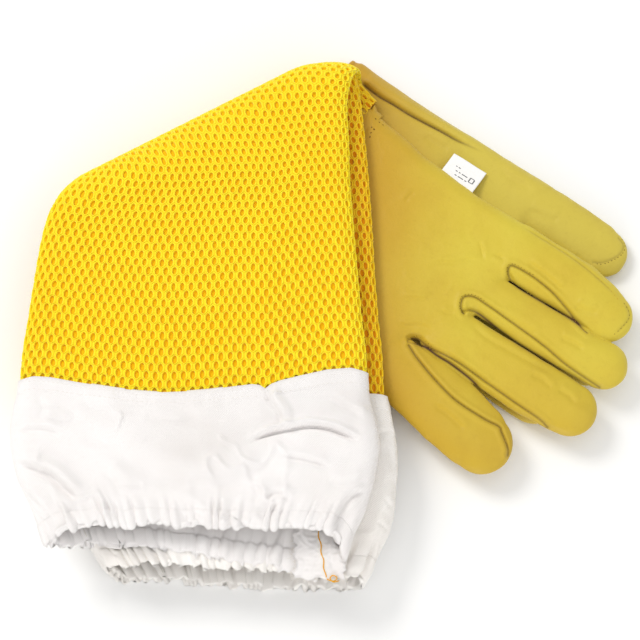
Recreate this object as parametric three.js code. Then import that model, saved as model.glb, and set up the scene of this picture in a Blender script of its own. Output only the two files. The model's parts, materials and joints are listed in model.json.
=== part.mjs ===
// A pair of long beekeeping gloves: leather hands, ventilated mesh sleeves and
// elasticated cotton cuffs. The two gloves are nested and folded together once,
// at a diagonal line across the mesh, so that the sleeves lie back over the hands.
// Millimetres, +Z up. The left glove is the outer one of the two nested folds:
// its hand lies on the surface and its sleeve is the top layer.
import * as THREE from 'three';
import { mergeVertices } from 'three/addons/utils/BufferGeometryUtils.js';

// ---------------------------------------------------------------- dimensions
const GAP = 0.3;                 // between touching pieces
const LAYER = 9.5;               // a flattened mesh tube
const WALL = 1.8;                // spacer mesh, leather with its lining
const HAND_T = 10.0;             // a flattened leather hand
const PANEL = 2.2;               // a leather panel
const HAND_ANGLE = -33.6;        // the hands' direction in plan, degrees
const FOLD_ANGLE = 28.2;         // the fold line's direction in plan
const FOLD_U = -107;             // where the sleeves start to bend, along u
const Z_A_HAND = 0;              // underside of the left hand
const Z_B_HAND = 10.4;           // underside of the right hand
const Z_B_SLEEVE = 20.8;         // underside of the right sleeve over the hands
const Z_A_SLEEVE = 30.7;         // underside of the left sleeve
const FOLD_Z = 20.4;             // height of both fold axes
const R_A = 15.2, R_B = 5.1;     // bend radius at mid thickness
const SEAM_S = -40;              // leather to mesh seam, along the hand
const CUFF_RISE = 14;            // fullness of the left cuff
const FINGER_WALL = 1.6;
const THUMB_T = 6.0;

// ---------------------------------------------------------------- directions
const rad = (a) => a * Math.PI / 180;
const D = [Math.cos(rad(HAND_ANGLE)), Math.sin(rad(HAND_ANGLE))];  // along the hand
const N = [-D[1], D[0]];                                           // across the hand
const F = [Math.cos(rad(FOLD_ANGLE)), Math.sin(rad(FOLD_ANGLE))];  // along the fold
const U = [F[1], -F[0]];                                           // away from the fold
const hand = (s, q) => [s * D[0] + q * N[0], s * D[1] + q * N[1]];
const fold = (v, u) => [v * F[0] + u * U[0], v * F[1] + u * U[1]];
const across = (x, y) => x * N[0] + y * N[1];
const lerp = (a, b, t) => a + (b - a) * t;
const smooth = (t) => { const c = Math.min(1, Math.max(0, t)); return c * c * (3 - 2 * c); };

// ---------------------------------------------------------------- mesh helpers
function clean(geo) {
  geo.deleteAttribute('normal');
  geo.deleteAttribute('uv');
  let g = mergeVertices(geo, 1e-4);
  const src = g.index.array, keep = [];
  for (let i = 0; i < src.length; i += 3) {
    const [a, b, c] = [src[i], src[i + 1], src[i + 2]];
    if (a !== b && b !== c && a !== c) keep.push(a, b, c);
  }
  g.setIndex(keep);
  return g;
}
function outward(g) {
  const p = g.attributes.position, ix = Array.from(g.index.array);
  let vol = 0;
  const a = new THREE.Vector3(), b = new THREE.Vector3(), c = new THREE.Vector3();
  for (let i = 0; i < ix.length; i += 3) {
    a.fromBufferAttribute(p, ix[i]); b.fromBufferAttribute(p, ix[i + 1]); c.fromBufferAttribute(p, ix[i + 2]);
    vol += a.dot(b.clone().cross(c)) / 6;
  }
  if (vol < 0) for (let i = 0; i < ix.length; i += 3) [ix[i + 1], ix[i + 2]] = [ix[i + 2], ix[i + 1]];
  g.setIndex(ix);
  g.computeVertexNormals();
  return g;
}
// A lathe of (layer, station) pairs, carried onto a flattened tube by place().
function tube(profile, segments, place) {
  const g = clean(new THREE.LatheGeometry(profile.map(([r, t]) => new THREE.Vector2(r, t)), segments));
  const p = g.attributes.position;
  for (let i = 0; i < p.count; i++) {
    const x = p.getX(i), t = p.getY(i), z = p.getZ(i);
    const r = Math.hypot(x, z);
    const phi = Math.atan2(z, x);
    const q = place(t, phi, r);
    p.setXYZ(i, q[0], q[1], q[2]);
  }
  return outward(clean(g));
}
const flat = (c, e) => Math.sign(c) * Math.pow(Math.abs(c), e);
// open tube between stations a and b: outer skin (2), inner skin (1)
function openProfile(a, b, n) {
  const pts = [];
  for (let i = 0; i <= n; i++) pts.push([2, lerp(a, b, i / n)]);
  for (let i = n; i >= 0; i--) pts.push([1, lerp(a, b, i / n)]);
  pts.push([2, a]);
  return pts;
}
function plate(outline, z0, z1, holes = []) {
  const shape = new THREE.Shape(outline.map(([x, y]) => new THREE.Vector2(x, y)));
  for (const h of holes) shape.holes.push(new THREE.Path(h.map(([x, y]) => new THREE.Vector2(x, y))));
  const g = new THREE.ExtrudeGeometry(shape, { depth: z1 - z0, bevelEnabled: false, curveSegments: 6 });
  g.translate(0, 0, z0);
  return outward(clean(g));
}

// ---------------------------------------------------------------- sleeves
// Station line of a tube: two side points; section() fills it with a flattened ring.
function section(L, R, zb, zt, phi, r, wall, e = 0.55) {
  const half = Math.hypot(R[0] - L[0], R[1] - L[1]) / 2;
  const inset = r > 1.5 ? 0 : wall;
  const w = (half - inset) / half;
  const k = 0.5 + 0.5 * flat(Math.cos(phi), e) * w;
  const x = lerp(L[0], R[0], k), y = lerp(L[1], R[1], k);
  const b = zb(x, y) + inset, t = zt(x, y) - inset;
  return [x, y, lerp(b, t, 0.5 + 0.5 * flat(Math.sin(phi), e))];
}
// side points of each sleeve, from the bend (0) over the mesh seam (1), the cuff's
// widest line (2) and the hem (3)
const SLEEVE = {
  left: {
    sides: [[fold(-109, FOLD_U), fold(73, FOLD_U)], [[-154.8, -32], [23.8, -33]],
      [[-157.5, -70], [29.5, -72]], [[-139, -110], [17, -111]]],
    sag: [0, 6, 3, 0],
    zb: () => Z_A_SLEEVE,
    zt: (y) => lerp(Z_A_SLEEVE + LAYER, Z_A_SLEEVE + CUFF_RISE, smooth((-15 - y) / 50)),
  },
  right: {
    sides: [[fold(-97, FOLD_U), fold(75, FOLD_U)], [[-143, -47], [33, -46.5]],
      [[-141, -88], [39, -88]], [[-113, -131], [16, -135]]],
    sag: [0, 4, 3, 0],
    zb: (x, y) => 0.3 + (Z_B_SLEEVE - 0.3) * smooth((across(x, y) + 110) / 72),
    zt: () => Z_B_SLEEVE + 9.6,
  },
};
function sleevePlace(s, t, phi, r, wall) {
  const i = Math.min(2, Math.floor(t)), k = t - i;
  // the side lines bow smoothly through the widest part of the cuff
  const at = (j) => {
    const P = s.sides.map((p) => p[j]);
    if (i === 0) return [lerp(P[0][0], P[1][0], k), lerp(P[0][1], P[1][1], k)];
    const T1 = [(P[2][0] - P[1][0]), (P[2][1] - P[1][1])];
    const T2 = [(P[3][0] - P[1][0]) * 0.5, (P[3][1] - P[1][1]) * 0.5];
    const T3 = [(P[3][0] - P[2][0]) * 1.25, (P[3][1] - P[2][1]) * 0.9];
    const [A, B, TA, TB] = i === 1 ? [P[1], P[2], T1, T2] : [P[2], P[3], T2, T3];
    const h = (c) => (2 * k ** 3 - 3 * k ** 2 + 1) * A[c] + (k ** 3 - 2 * k ** 2 + k) * TA[c]
      + (-2 * k ** 3 + 3 * k ** 2) * B[c] + (k ** 3 - k ** 2) * TB[c];
    return [h(0), h(1)];
  };
  const L = at(0), R = at(1);
  const p = section(L, R, s.zb, (x, y) => s.zt(y), phi, r, wall);
  const m = (p[0] - L[0]) / (R[0] - L[0]);
  const sag = lerp(s.sag[i], s.sag[i + 1], k) * 4 * m * (1 - m);
  return section([L[0], L[1] - sag], [R[0], R[1] - sag], s.zb, (x, y) => s.zt(y), phi, r, wall);
}
const T_BAND = 1.10;             // the cuff's seam band ends here
const T_HEM = 2.72;              // the hem casing starts here
function sleeveNodes(side, mats) {
  const s = SLEEVE[side];
  const out = [];
  out.push([`${side}_sleeve_upper`, tube(openProfile(0, 0.985, 4), 16,
    (t, phi, r) => sleevePlace(s, t, phi, r, WALL)), mats.mesh]);
  out.push([`${side}_cuff_seam_band`, tube(openProfile(0.99, T_BAND, 1), 16,
    (t, phi, r) => sleevePlace(s, t, phi, r, WALL)), mats.cotton]);
  out.push([`${side}_cuff`, tube(openProfile(T_BAND + 0.01, T_HEM - 0.008, 4), 16,
    (t, phi, r) => sleevePlace(s, t, phi, r, WALL)), mats.cotton]);
  // hem casing: a ring with a channel on its inner side, and the elastic in it
  const casing = [[2, T_HEM], [2, 3], [1, 3], [1, 2.95], [1.6, 2.95], [1.6, T_HEM + 0.06],
    [1, T_HEM + 0.06], [1, T_HEM], [2, T_HEM]];
  const hemPlace = (t, phi, r) => {
    // r runs from 1 (inner skin) to 2 (outer skin); the channel floor is at 1.6
    const inset = (2 - r) * 3.2;
    return sleevePlaceInset(s, t, phi, inset);
  };
  out.push([`${side}_hem_casing`, tube(casing, 16, hemPlace), mats.cotton]);
  const band = [[1.4, T_HEM + 0.08], [1.4, 2.93], [1.12, 2.93], [1.12, T_HEM + 0.08], [1.4, T_HEM + 0.08]];
  out.push([`${side}_hem_elastic`, tube(band, 16, hemPlace), mats.elastic]);
  return out;
}
function sleevePlaceInset(s, t, phi, inset) {
  return sleevePlace(s, t, phi, 1, inset);
}

// under part: from the wrist seam to the bend
const UNDER = {
  left: { wrist: [-22, 131.5], v: [-91, 92], z: Z_A_HAND, up: [-109, 73], R: R_A },
  right: { wrist: [-27, 112], v: [-88, 83], z: Z_B_HAND, up: [-97, 75], R: R_B },
};
function underNodes(side, mats) {
  const o = UNDER[side];
  const zb = () => o.z, zt = () => o.z + LAYER;
  const e1 = SEAM_S - 0.35, e2 = SEAM_S - 8;
  const place = (t, phi, r) => {
    const a = hand(lerp(e2, e1, 1), o.wrist[0]);
    if (t <= 1) {
      const L = [0, 1].map((c) => lerp(hand(e2 - 0.35, o.wrist[0] - 3)[c], fold(o.v[0], FOLD_U)[c], t));
      const R = [0, 1].map((c) => lerp(hand(e2 - 0.35, o.wrist[1] + 1)[c], fold(o.v[1], FOLD_U)[c], t));
      return section(L, R, zb, zt, phi, r, WALL);
    }
    return a;
  };
  const band = (t, phi, r) => {
    const L = hand(lerp(e1, e2, t), lerp(o.wrist[0], o.wrist[0] - 3, t));
    const R = hand(lerp(e1, e2, t), lerp(o.wrist[1], o.wrist[1] + 1, t));
    return section(L, R, () => o.z + 0.2, () => o.z + HAND_T - 0.2, phi, r, WALL + 0.3);
  };
  const bend = (t, phi, r) => {
    const al = lerp(0.012, Math.PI - 0.012, t);
    const pinch = Math.sin(al) ** 2;
    const v0 = lerp(o.v[0], o.up[0], t) + 9 * pinch, v1 = lerp(o.v[1], o.up[1], t) - 5 * pinch;
    const inset = r > 1.5 ? 0 : WALL;
    const half = (v1 - v0) / 2, mid = (v0 + v1) / 2;
    const v = mid + flat(Math.cos(phi), 0.55) * (half - inset);
    const rr = o.R + flat(Math.sin(phi), 0.55) * (LAYER / 2 - inset);
    const p = fold(v, FOLD_U - rr * Math.sin(al));
    return [p[0], p[1], FOLD_Z - rr * Math.cos(al)];
  };
  return [
    [`${side}_wrist_band`, tube(openProfile(0, 1, 1), 16, band), mats.trim],
    [`${side}_sleeve_under`, tube(openProfile(0, 0.998, 2), 16, place), mats.mesh],
    [`${side}_sleeve_fold`, tube(openProfile(0, 1, 7), 16, bend), mats.mesh],
  ];
}

// ---------------------------------------------------------------- hands
// fingers: centre of the base, centre of the tip, half width, in (s, q)
const HANDS = {
  left: {
    z: Z_A_HAND,
    fingers: {
      index: [[70.9, 29], [127, 27], 13.6],
      middle: [[70.4, 62.2], [140, 61.5], 12.2],
      ring: [[62.4, 90], [132, 89.5], 12.2],
      little: [[62.6, 118.2], [114, 117], 13.2],
    },
    outline: [[-40, -22], [0, 3], [30, 12], [69.7, 15.4], [69.7, 42.6], [69.2, 46.2], [69.7, 50], [69.7, 74.4],
      [61.7, 77.9], [61.7, 102.2], [58, 103.6], [61.7, 105], [61.7, 131.4], [30, 130.6], [0, 130.4], [-40, 131.5]],
    thumb: [[4, 26], [56, 62], 12.5],
  },
  right: {
    z: Z_B_HAND,
    fingers: {
      index: [[71.2, 90.6], [137, 85], 12.8],
      middle: [[70.6, 60.3], [148.5, 58.5], 12.2],
      ring: [[62.6, 30.2], [147.5, 32], 13.0],
      little: [hand2(51.7, -40.2), hand2(90.6, -77.6), 17.4],
    },
    outline: [[-40, -27], [0, -25], [40, -24], [60.6, -22.2], [67.0, 12.4], [48, 15.5], [47, 17.4], [61.7, 17.3], [61.7, 43.1],
      [61.9, 45.5], [69.7, 48.2], [69.7, 72.4], [68, 75], [69.7, 77.9], [69.7, 103.3], [30, 102.4], [0, 104.4], [-40, 112]],
    thumb: [[2, 88], [54, 56], 12.5],
  },
};
function hand2(x, y) { return [x * D[0] + y * D[1], x * N[0] + y * N[1]]; }

function sheath(P0, P1, half, z, thick, wall) {
  // closed round tip, open base; stations 0..1 along the finger
  const a = hand(P0[0], P0[1]), b = hand(P1[0], P1[1]);
  const len = Math.hypot(b[0] - a[0], b[1] - a[1]);
  const ax = [(b[0] - a[0]) / len, (b[1] - a[1]) / len], pr = [-ax[1], ax[0]];
  const round = Math.min(half * 1.15, len * 0.45) / len;
  const width = (t) => {
    const k = Math.max(0, (t - (1 - round)) / round);
    return Math.sqrt(Math.max(0, 1 - k * k));
  };
  const ti = 1 - 2.5 / len;
  const ts = [0, 1 - round, 1 - round * 0.5, 1 - round * 0.14];
  const profile = [[0, ti]];
  for (const t of [...ts].reverse()) profile.push([1, Math.min(t, ti - 0.02)]);
  for (const t of ts) profile.push([2, t]);
  profile.push([0, 1]);
  return tube(profile, 12, (t, phi, r) => {
    if (r < 0.5) return [a[0] + ax[0] * t * len, a[1] + ax[1] * t * len, z + thick / 2];
    const inner = r < 1.5;
    const w = width(t);
    const hw = Math.max(half * w - (inner ? wall : 0), 0.8);
    const hh = thick / 2 * (0.45 + 0.55 * w) - (inner ? wall : 0);
    const x = flat(Math.cos(phi), 0.55) * hw, y = flat(Math.sin(phi), 0.55) * hh;
    return [a[0] + ax[0] * t * len + pr[0] * x, a[1] + ax[1] * t * len + pr[1] * x, z + thick / 2 + y];
  });
}
// side wall strip between two fingers: it lies along the lower-numbered side of one finger
function fourchette(P0, P1, half, side, z, start, w = 1.5) {
  const a = hand(P0[0], P0[1]), b = hand(P1[0], P1[1]);
  const len = Math.hypot(b[0] - a[0], b[1] - a[1]);
  const ax = [(b[0] - a[0]) / len, (b[1] - a[1]) / len], pr = [-ax[1], ax[0]];
  const at = (s, q) => [a[0] + ax[0] * s + pr[0] * q, a[1] + ax[1] * s + pr[1] * q];
  const q0 = side * (half + GAP), q1 = side * (half + GAP + w);
  const end = len - half * 1.2;
  const pts = [at(start, q0), at(start, q1), at(end * 0.6, q1), at(end, q0 + side * 0.5), at(end, q0)];
  return plate(pts, z + 1.4, z + HAND_T - 1.4);
}
function loop(P0, P1, half, grow) {
  const a = hand(P0[0], P0[1]), b = hand(P1[0], P1[1]);
  const len = Math.hypot(b[0] - a[0], b[1] - a[1]);
  const ax = [(b[0] - a[0]) / len, (b[1] - a[1]) / len], pr = [-ax[1], ax[0]];
  const h = half + grow, pts = [];
  const at = (s, q) => [a[0] + ax[0] * s + pr[0] * q, a[1] + ax[1] * s + pr[1] * q];
  pts.push(at(-grow, -h));
  for (let i = 0; i <= 8; i++) {
    const t = -Math.PI / 2 + Math.PI * i / 8;
    pts.push(at(len - half * 1.15 + Math.cos(t) * (half * 1.15 + grow), Math.sin(t) * h));
  }
  pts.push(at(-grow, h));
  return pts;
}
function handNodes(side, mats) {
  const h = HANDS[side];
  const out = [];
  const outline = h.outline.map(([s, q]) => hand(s, q));
  out.push([`${side}_hand_palm`, plate(outline, h.z, h.z + PANEL, [loop(...h.thumb, 0.6)]), mats.leather]);
  out.push([`${side}_hand_back`, plate(outline, h.z + HAND_T - PANEL, h.z + HAND_T), mats.leather]);
  for (const [name, [a, b, w]] of Object.entries(h.fingers)) {
    out.push([`${side}_${name}_finger`, sheath(a, b, w, h.z, HAND_T, FINGER_WALL), mats.leather]);
  }
  out.push([`${side}_thumb`, sheath(...h.thumb, h.z, THUMB_T, 0.9), mats.leather]);
  // each side wall strip lies against the finger named first
  const side_ = side === 'left' ? 1 : -1;
  for (const [one, two] of [['index', 'middle'], ['middle', 'ring'], ['ring', 'little']]) {
    const [a, b, w] = h.fingers[one];
    out.push([`${side}_${one}_${two}_fourchette`, fourchette(a, b, w, side_, h.z, 1), mats.fourchette]);
  }
  return out;
}

// ---------------------------------------------------------------- label
const LABEL = { s: 18.4, q: 104.6, width: 20, length: 12.6, thick: 0.8 };
function labelNode(mats) {
  const g = new THREE.BoxGeometry(LABEL.width, LABEL.length, LABEL.thick, 1, 3, 1);
  const p = g.attributes.position;
  for (let i = 0; i < p.count; i++) {
    const s = LABEL.s + p.getX(i);
    const k = (p.getY(i) + LABEL.length / 2) / LABEL.length;
    const q = LABEL.q + k * LABEL.length * 0.985;
    const z = lerp(Z_B_HAND + 5.2, Z_B_HAND + 0.9, smooth(k * 1.2)) + p.getZ(i);
    const [x, y] = hand(s, q);
    p.setXYZ(i, x, y, z);
  }
  return [['care_label', outward(clean(g)), mats.label]];
}

// ---------------------------------------------------------------- assembly
const mat = (color, roughness) => new THREE.MeshStandardMaterial({ color, roughness, metalness: 0 });
const palette = {
  leather: () => mat(0xd9c462, 0.6),
  fourchette: () => mat(0xb4922f, 0.65),
  mesh: () => mat(0xfadc22, 0.85),
  cotton: () => mat(0xf4f2ee, 0.95),
  elastic: () => mat(0xe6e4de, 0.9),
  trim: () => mat(0xc9a93c, 0.7),
  label: () => mat(0xfafafa, 0.8),
};
const kinds = { leather: 'leather', fourchette: 'fourchette', mesh: 'mesh', cotton: 'cotton', elastic: 'elastic', trim: 'trim', label: 'label' };
const pair = new THREE.Group();
for (const side of ['left', 'right']) {
  const g = new THREE.Group();
  for (const [name, geo, kind] of [...handNodes(side, kinds), ...underNodes(side, kinds), ...sleeveNodes(side, kinds),
    ...(side === 'right' ? labelNode(kinds) : [])]) {
    const m = new THREE.Mesh(geo, palette[kind]());
    m.name = name;
    g.add(m);
  }
  pair.add(g);
}
// the origin is the centre of the pair's footprint, on the surface it lies on
const box = new THREE.Box3().setFromObject(pair);
const c = box.getCenter(new THREE.Vector3());
pair.position.set(-c.x, -c.y, -box.min.z);
const root = new THREE.Group();
root.add(pair);
root.updateMatrixWorld(true);

export default root;
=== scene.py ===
"""Looks for a nested, folded pair of beekeeping gloves: leather hands, spacer mesh sleeves, cotton cuffs.
Lengths in this file are millimetres in the model's plan, turned into metres by one function."""
import json
import math
import bpy
import numpy as np
import openvdb as vdb
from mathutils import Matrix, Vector


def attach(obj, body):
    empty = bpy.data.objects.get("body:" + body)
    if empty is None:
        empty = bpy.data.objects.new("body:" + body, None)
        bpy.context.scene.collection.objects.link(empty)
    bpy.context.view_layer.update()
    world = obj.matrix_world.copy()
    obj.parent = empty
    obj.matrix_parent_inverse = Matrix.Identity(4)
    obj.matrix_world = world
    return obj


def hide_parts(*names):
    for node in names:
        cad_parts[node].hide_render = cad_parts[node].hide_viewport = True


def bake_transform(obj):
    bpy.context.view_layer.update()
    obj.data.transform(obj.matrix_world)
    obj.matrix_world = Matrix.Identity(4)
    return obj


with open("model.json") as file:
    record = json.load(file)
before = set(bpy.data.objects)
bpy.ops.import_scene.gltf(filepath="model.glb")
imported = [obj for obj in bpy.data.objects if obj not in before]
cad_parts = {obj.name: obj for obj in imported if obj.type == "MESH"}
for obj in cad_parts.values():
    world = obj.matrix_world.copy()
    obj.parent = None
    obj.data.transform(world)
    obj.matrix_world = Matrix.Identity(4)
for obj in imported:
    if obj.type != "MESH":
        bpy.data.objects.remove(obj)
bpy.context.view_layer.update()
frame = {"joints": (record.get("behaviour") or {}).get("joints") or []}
RNG = np.random.default_rng(7)

# ------------------------------------------------------------------ the frame's plan
SHIFT = np.array([-2.7776, -5.2235, 0.0])        # plan millimetres to the row frame
HA, FA = math.radians(-33.6), math.radians(28.2)
D = np.array([math.cos(HA), math.sin(HA)]); N = np.array([-D[1], D[0]])
F = np.array([math.cos(FA), math.sin(FA)]); U = np.array([F[1], -F[0]])
FOLD_U, FOLD_Z = -107.0, 20.4
R_A, R_B = 15.2, 5.1


def to_m(p):
    return (np.asarray(p, float) + SHIFT) / 1000.0


def hand(s, q):
    return np.stack([s * D[0] + q * N[0], s * D[1] + q * N[1]], -1)


def sm(t):
    t = np.clip(t, 0.0, 1.0)
    return t * t * (3 - 2 * t)


def noise2(x, y, scale, seed):
    """Smooth value noise, about -1 to 1."""
    def h(i, j):
        v = np.sin(i * 127.1 + j * 311.7 + seed * 74.7) * 43758.5453
        return (v - np.floor(v)) * 2 - 1
    X, Y = np.asarray(x, float) / scale, np.asarray(y, float) / scale
    i, j = np.floor(X), np.floor(Y)
    u, v = sm(X - i), sm(Y - j)
    a = h(i, j) * (1 - u) + h(i + 1, j) * u
    b = h(i, j + 1) * (1 - u) + h(i + 1, j + 1) * u
    return a * (1 - v) + b * v


def fbm(x, y, scale, seed, octaves=3):
    out, amp = 0, 1.0
    for k in range(octaves):
        out = out + amp * noise2(x, y, scale / 2 ** k, seed + 13 * k)
        amp *= 0.5
    return out / 1.75


def seg_dist(px, py, pts):
    """Distance to a polyline, the side it lies on, and how far along it (0 to 1)."""
    pts = np.asarray(pts, float)
    L = np.concatenate([[0], np.cumsum(np.hypot(*(pts[1:] - pts[:-1]).T))])
    best = np.full(np.shape(px), 1e9); side = np.zeros(np.shape(px)); along = np.zeros(np.shape(px))
    for k in range(len(pts) - 1):
        a, b = pts[k], pts[k + 1]
        d = b - a
        n2 = max(d @ d, 1e-9)
        t = np.clip(((px - a[0]) * d[0] + (py - a[1]) * d[1]) / n2, 0, 1)
        cx, cy = px - (a[0] + t * d[0]), py - (a[1] + t * d[1])
        dist = np.hypot(cx, cy)
        m = dist < best
        best = np.where(m, dist, best)
        side = np.where(m, np.sign(d[0] * cy - d[1] * cx), side)
        along = np.where(m, (L[k] + t * math.sqrt(n2)) / L[-1], along)
    return best, side, along


def smooth_line(pts, n=40):
    """Catmull-Rom through the points."""
    p = np.asarray(pts, float)
    q = np.vstack([2 * p[0] - p[1], p, 2 * p[-1] - p[-2]])
    out = []
    for i in range(1, len(q) - 2):
        m = max(2, n // (len(p) - 1))
        for t in np.linspace(0, 1, m, endpoint=False):
            out.append(0.5 * ((2 * q[i]) + (-q[i - 1] + q[i + 1]) * t + (2 * q[i - 1] - 5 * q[i] + 4 * q[i + 1] - q[i + 2]) * t * t
                              + (-q[i - 1] + 3 * q[i] - 3 * q[i + 1] + q[i + 2]) * t ** 3))
    out.append(q[-2])
    return np.array(out)


def crease(px, py, pts, width=1.2, depth=0.8, ridge=0.5, off=2.6, ends=0.15):
    """A valley along a line with a low ridge on its left; it fades at both ends."""
    d, s, t = seg_dist(px, py, smooth_line(pts))
    fade = sm(np.minimum(t, 1 - t) / ends) if ends > 0 else 1.0
    sd = d * s
    return fade * (-depth * np.exp(-(d / width) ** 2) + ridge * np.exp(-((sd - off) / (width * 1.7)) ** 2))


# ------------------------------------------------------------------ mesh building
def make(name, verts_mm, faces, mat, smooth=True, quads=None):
    """verts in plan millimetres; faces: (n,3) or (n,4) arrays, or a list of such arrays."""
    V = to_m(verts_mm).astype(np.float32)
    groups = faces if isinstance(faces, (list, tuple)) else [faces]
    groups = [np.asarray(g, np.int32) for g in groups if len(g)]
    me = bpy.data.meshes.new(name)
    me.vertices.add(len(V))
    me.vertices.foreach_set("co", V.ravel())
    loops = np.concatenate([g.ravel() for g in groups])
    totals = np.concatenate([np.full(len(g), g.shape[1], np.int32) for g in groups])
    starts = np.concatenate([[0], np.cumsum(totals)[:-1]]).astype(np.int32)
    me.loops.add(len(loops))
    me.loops.foreach_set("vertex_index", loops)
    me.polygons.add(len(totals))
    me.polygons.foreach_set("loop_start", starts)
    me.polygons.foreach_set("loop_total", totals)
    me.polygons.foreach_set("use_smooth", np.full(len(totals), smooth))
    me.update(calc_edges=True)
    me.validate()
    ob = bpy.data.objects.new(name, me)
    bpy.context.collection.objects.link(ob)
    if mat is not None:
        me.materials.append(mat)
    # where each vertex lies at rest, so that grain and colour stay with the piece when it bends
    co = np.empty(len(me.vertices) * 3, np.float32)
    me.vertices.foreach_get("co", co)
    at = me.attributes.new("rest", "FLOAT_VECTOR", "POINT")
    at.data.foreach_set("vector", co)
    return ob


def grid_faces(nu, nv, wrap_u=False):
    """Quads of an (nu, nv) grid of vertices, index u*nv+v."""
    iu = np.arange(nu if wrap_u else nu - 1)
    iv = np.arange(nv - 1)
    a, b = np.meshgrid(iu, iv, indexing="ij")
    a, b = a.ravel(), b.ravel()
    a2 = (a + 1) % nu
    return np.stack([a * nv + b, a2 * nv + b, a2 * nv + b + 1, a * nv + b + 1], -1)


def flip(f):
    return f[:, ::-1]


# ------------------------------------------------------------------ materials
def new_mat(name):
    m = bpy.data.materials.new(name)
    m.use_nodes = True
    nt = m.node_tree
    b = nt.nodes["Principled BSDF"]
    return m, nt, b


def nd(nt, kind, **kw):
    n = nt.nodes.new(kind)
    for k, v in kw.items():
        if k in n.inputs.keys():
            n.inputs[k].default_value = v
        else:
            setattr(n, k, v)
    return n


def srgb(r, g, b):
    f = lambda c: ((c / 255 + 0.055) / 1.055) ** 2.4 if c > 10 else c / 255 / 12.92
    return (f(r), f(g), f(b), 1.0)


def mixc(nt, fac, a, b, blend="MIX"):
    n = nt.nodes.new("ShaderNodeMix")
    n.data_type = "RGBA"
    n.blend_type = blend
    for sock, v in ((n.inputs[0], fac), (n.inputs[6], a), (n.inputs[7], b)):
        if hasattr(v, "links") or isinstance(v, bpy.types.NodeSocket):
            nt.links.new(v, sock)
        else:
            sock.default_value = v
    return n.outputs[2]


def ramp(nt, fac, lo, hi, c0=0.0, c1=1.0):
    n = nt.nodes.new("ShaderNodeMapRange")
    nt.links.new(fac, n.inputs[0])
    n.inputs[1].default_value, n.inputs[2].default_value = lo, hi
    n.inputs[3].default_value, n.inputs[4].default_value = c0, c1
    return n.outputs[0]


def coords(nt, scale=(1, 1, 1), rot=(0, 0, 0)):
    tc = nt.nodes.new("ShaderNodeAttribute")
    tc.attribute_name = "rest"
    mp = nt.nodes.new("ShaderNodeMapping")
    mp.inputs["Scale"].default_value = scale
    mp.inputs["Rotation"].default_value = rot
    nt.links.new(tc.outputs["Vector"], mp.inputs["Vector"])
    return mp.outputs["Vector"]


def noise(nt, vec, scale, detail=3.0, rough=0.55):
    n = nd(nt, "ShaderNodeTexNoise", Scale=scale, Detail=detail, Roughness=rough)
    nt.links.new(vec, n.inputs["Vector"])
    return n.outputs["Fac"]


def bump(nt, height, strength, dist, normal=None):
    n = nd(nt, "ShaderNodeBump", Strength=strength, Distance=dist)
    nt.links.new(height, n.inputs["Height"])
    if normal is not None:
        nt.links.new(normal, n.inputs["Normal"])
    return n.outputs["Normal"]


def leather_mat(name, light, warm, dark, rough=0.5, deep=None):
    m, nt, b = new_mat(name)
    L = nt.links
    v = coords(nt)
    deep = deep or srgb(186, 132, 10)
    big = noise(nt, v, 14.0, 3.0, 0.5)
    mid = noise(nt, v, 60.0, 4.0, 0.6)
    fine = noise(nt, v, 420.0, 3.0, 0.6)
    # painted shade: warmer and darker next to the sleeves, where their shade falls on the hide
    sep = nt.nodes.new("ShaderNodeSeparateXYZ")
    L.new(v, sep.inputs[0])
    near = ramp(nt, sep.outputs[0], 0.075, 0.010)
    low = ramp(nt, sep.outputs[1], -0.024, -0.075, 0.0, 0.75)
    c = mixc(nt, ramp(nt, big, 0.35, 0.68), light, warm)
    c = mixc(nt, low, c, srgb(194, 158, 38))
    c = mixc(nt, ramp(nt, near, 0.0, 1.0, 0.0, 0.85), c, deep)
    c = mixc(nt, ramp(nt, mid, 0.52, 0.78, 0.0, 0.13), c, dark)
    c = mixc(nt, ramp(nt, fine, 0.55, 0.8, 0.0, 0.11), c, dark)
    # seams and creases carried by the mesh as a point value: dark seam lines that are partly painted shade in their
    # grooves, and painted shade in the finger gaps and folds
    at = nt.nodes.new("ShaderNodeAttribute"); at.attribute_name = "shade"
    c = mixc(nt, at.outputs["Fac"], c, srgb(70, 38, 8))
    L.new(c, b.inputs["Base Color"])
    vo = nd(nt, "ShaderNodeTexVoronoi", Scale=1250.0, feature="F1")
    L.new(v, vo.inputs["Vector"])
    g1 = bump(nt, vo.outputs["Distance"], 0.22, 0.00022)
    g2 = bump(nt, noise(nt, v, 330.0, 4.0, 0.62), 0.3, 0.00045, g1)
    g3 = bump(nt, noise(nt, v, 70.0, 3.0, 0.5), 0.35, 0.0011, g2)
    L.new(g3, b.inputs["Normal"])
    r = ramp(nt, mid, 0.3, 0.75, rough - 0.06, rough + 0.09)
    L.new(r, b.inputs["Roughness"])
    b.inputs["Specular IOR Level"].default_value = 0.38
    b.inputs["Sheen Weight"].default_value = 0.12
    b.inputs["Sheen Roughness"].default_value = 0.5
    return m


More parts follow.
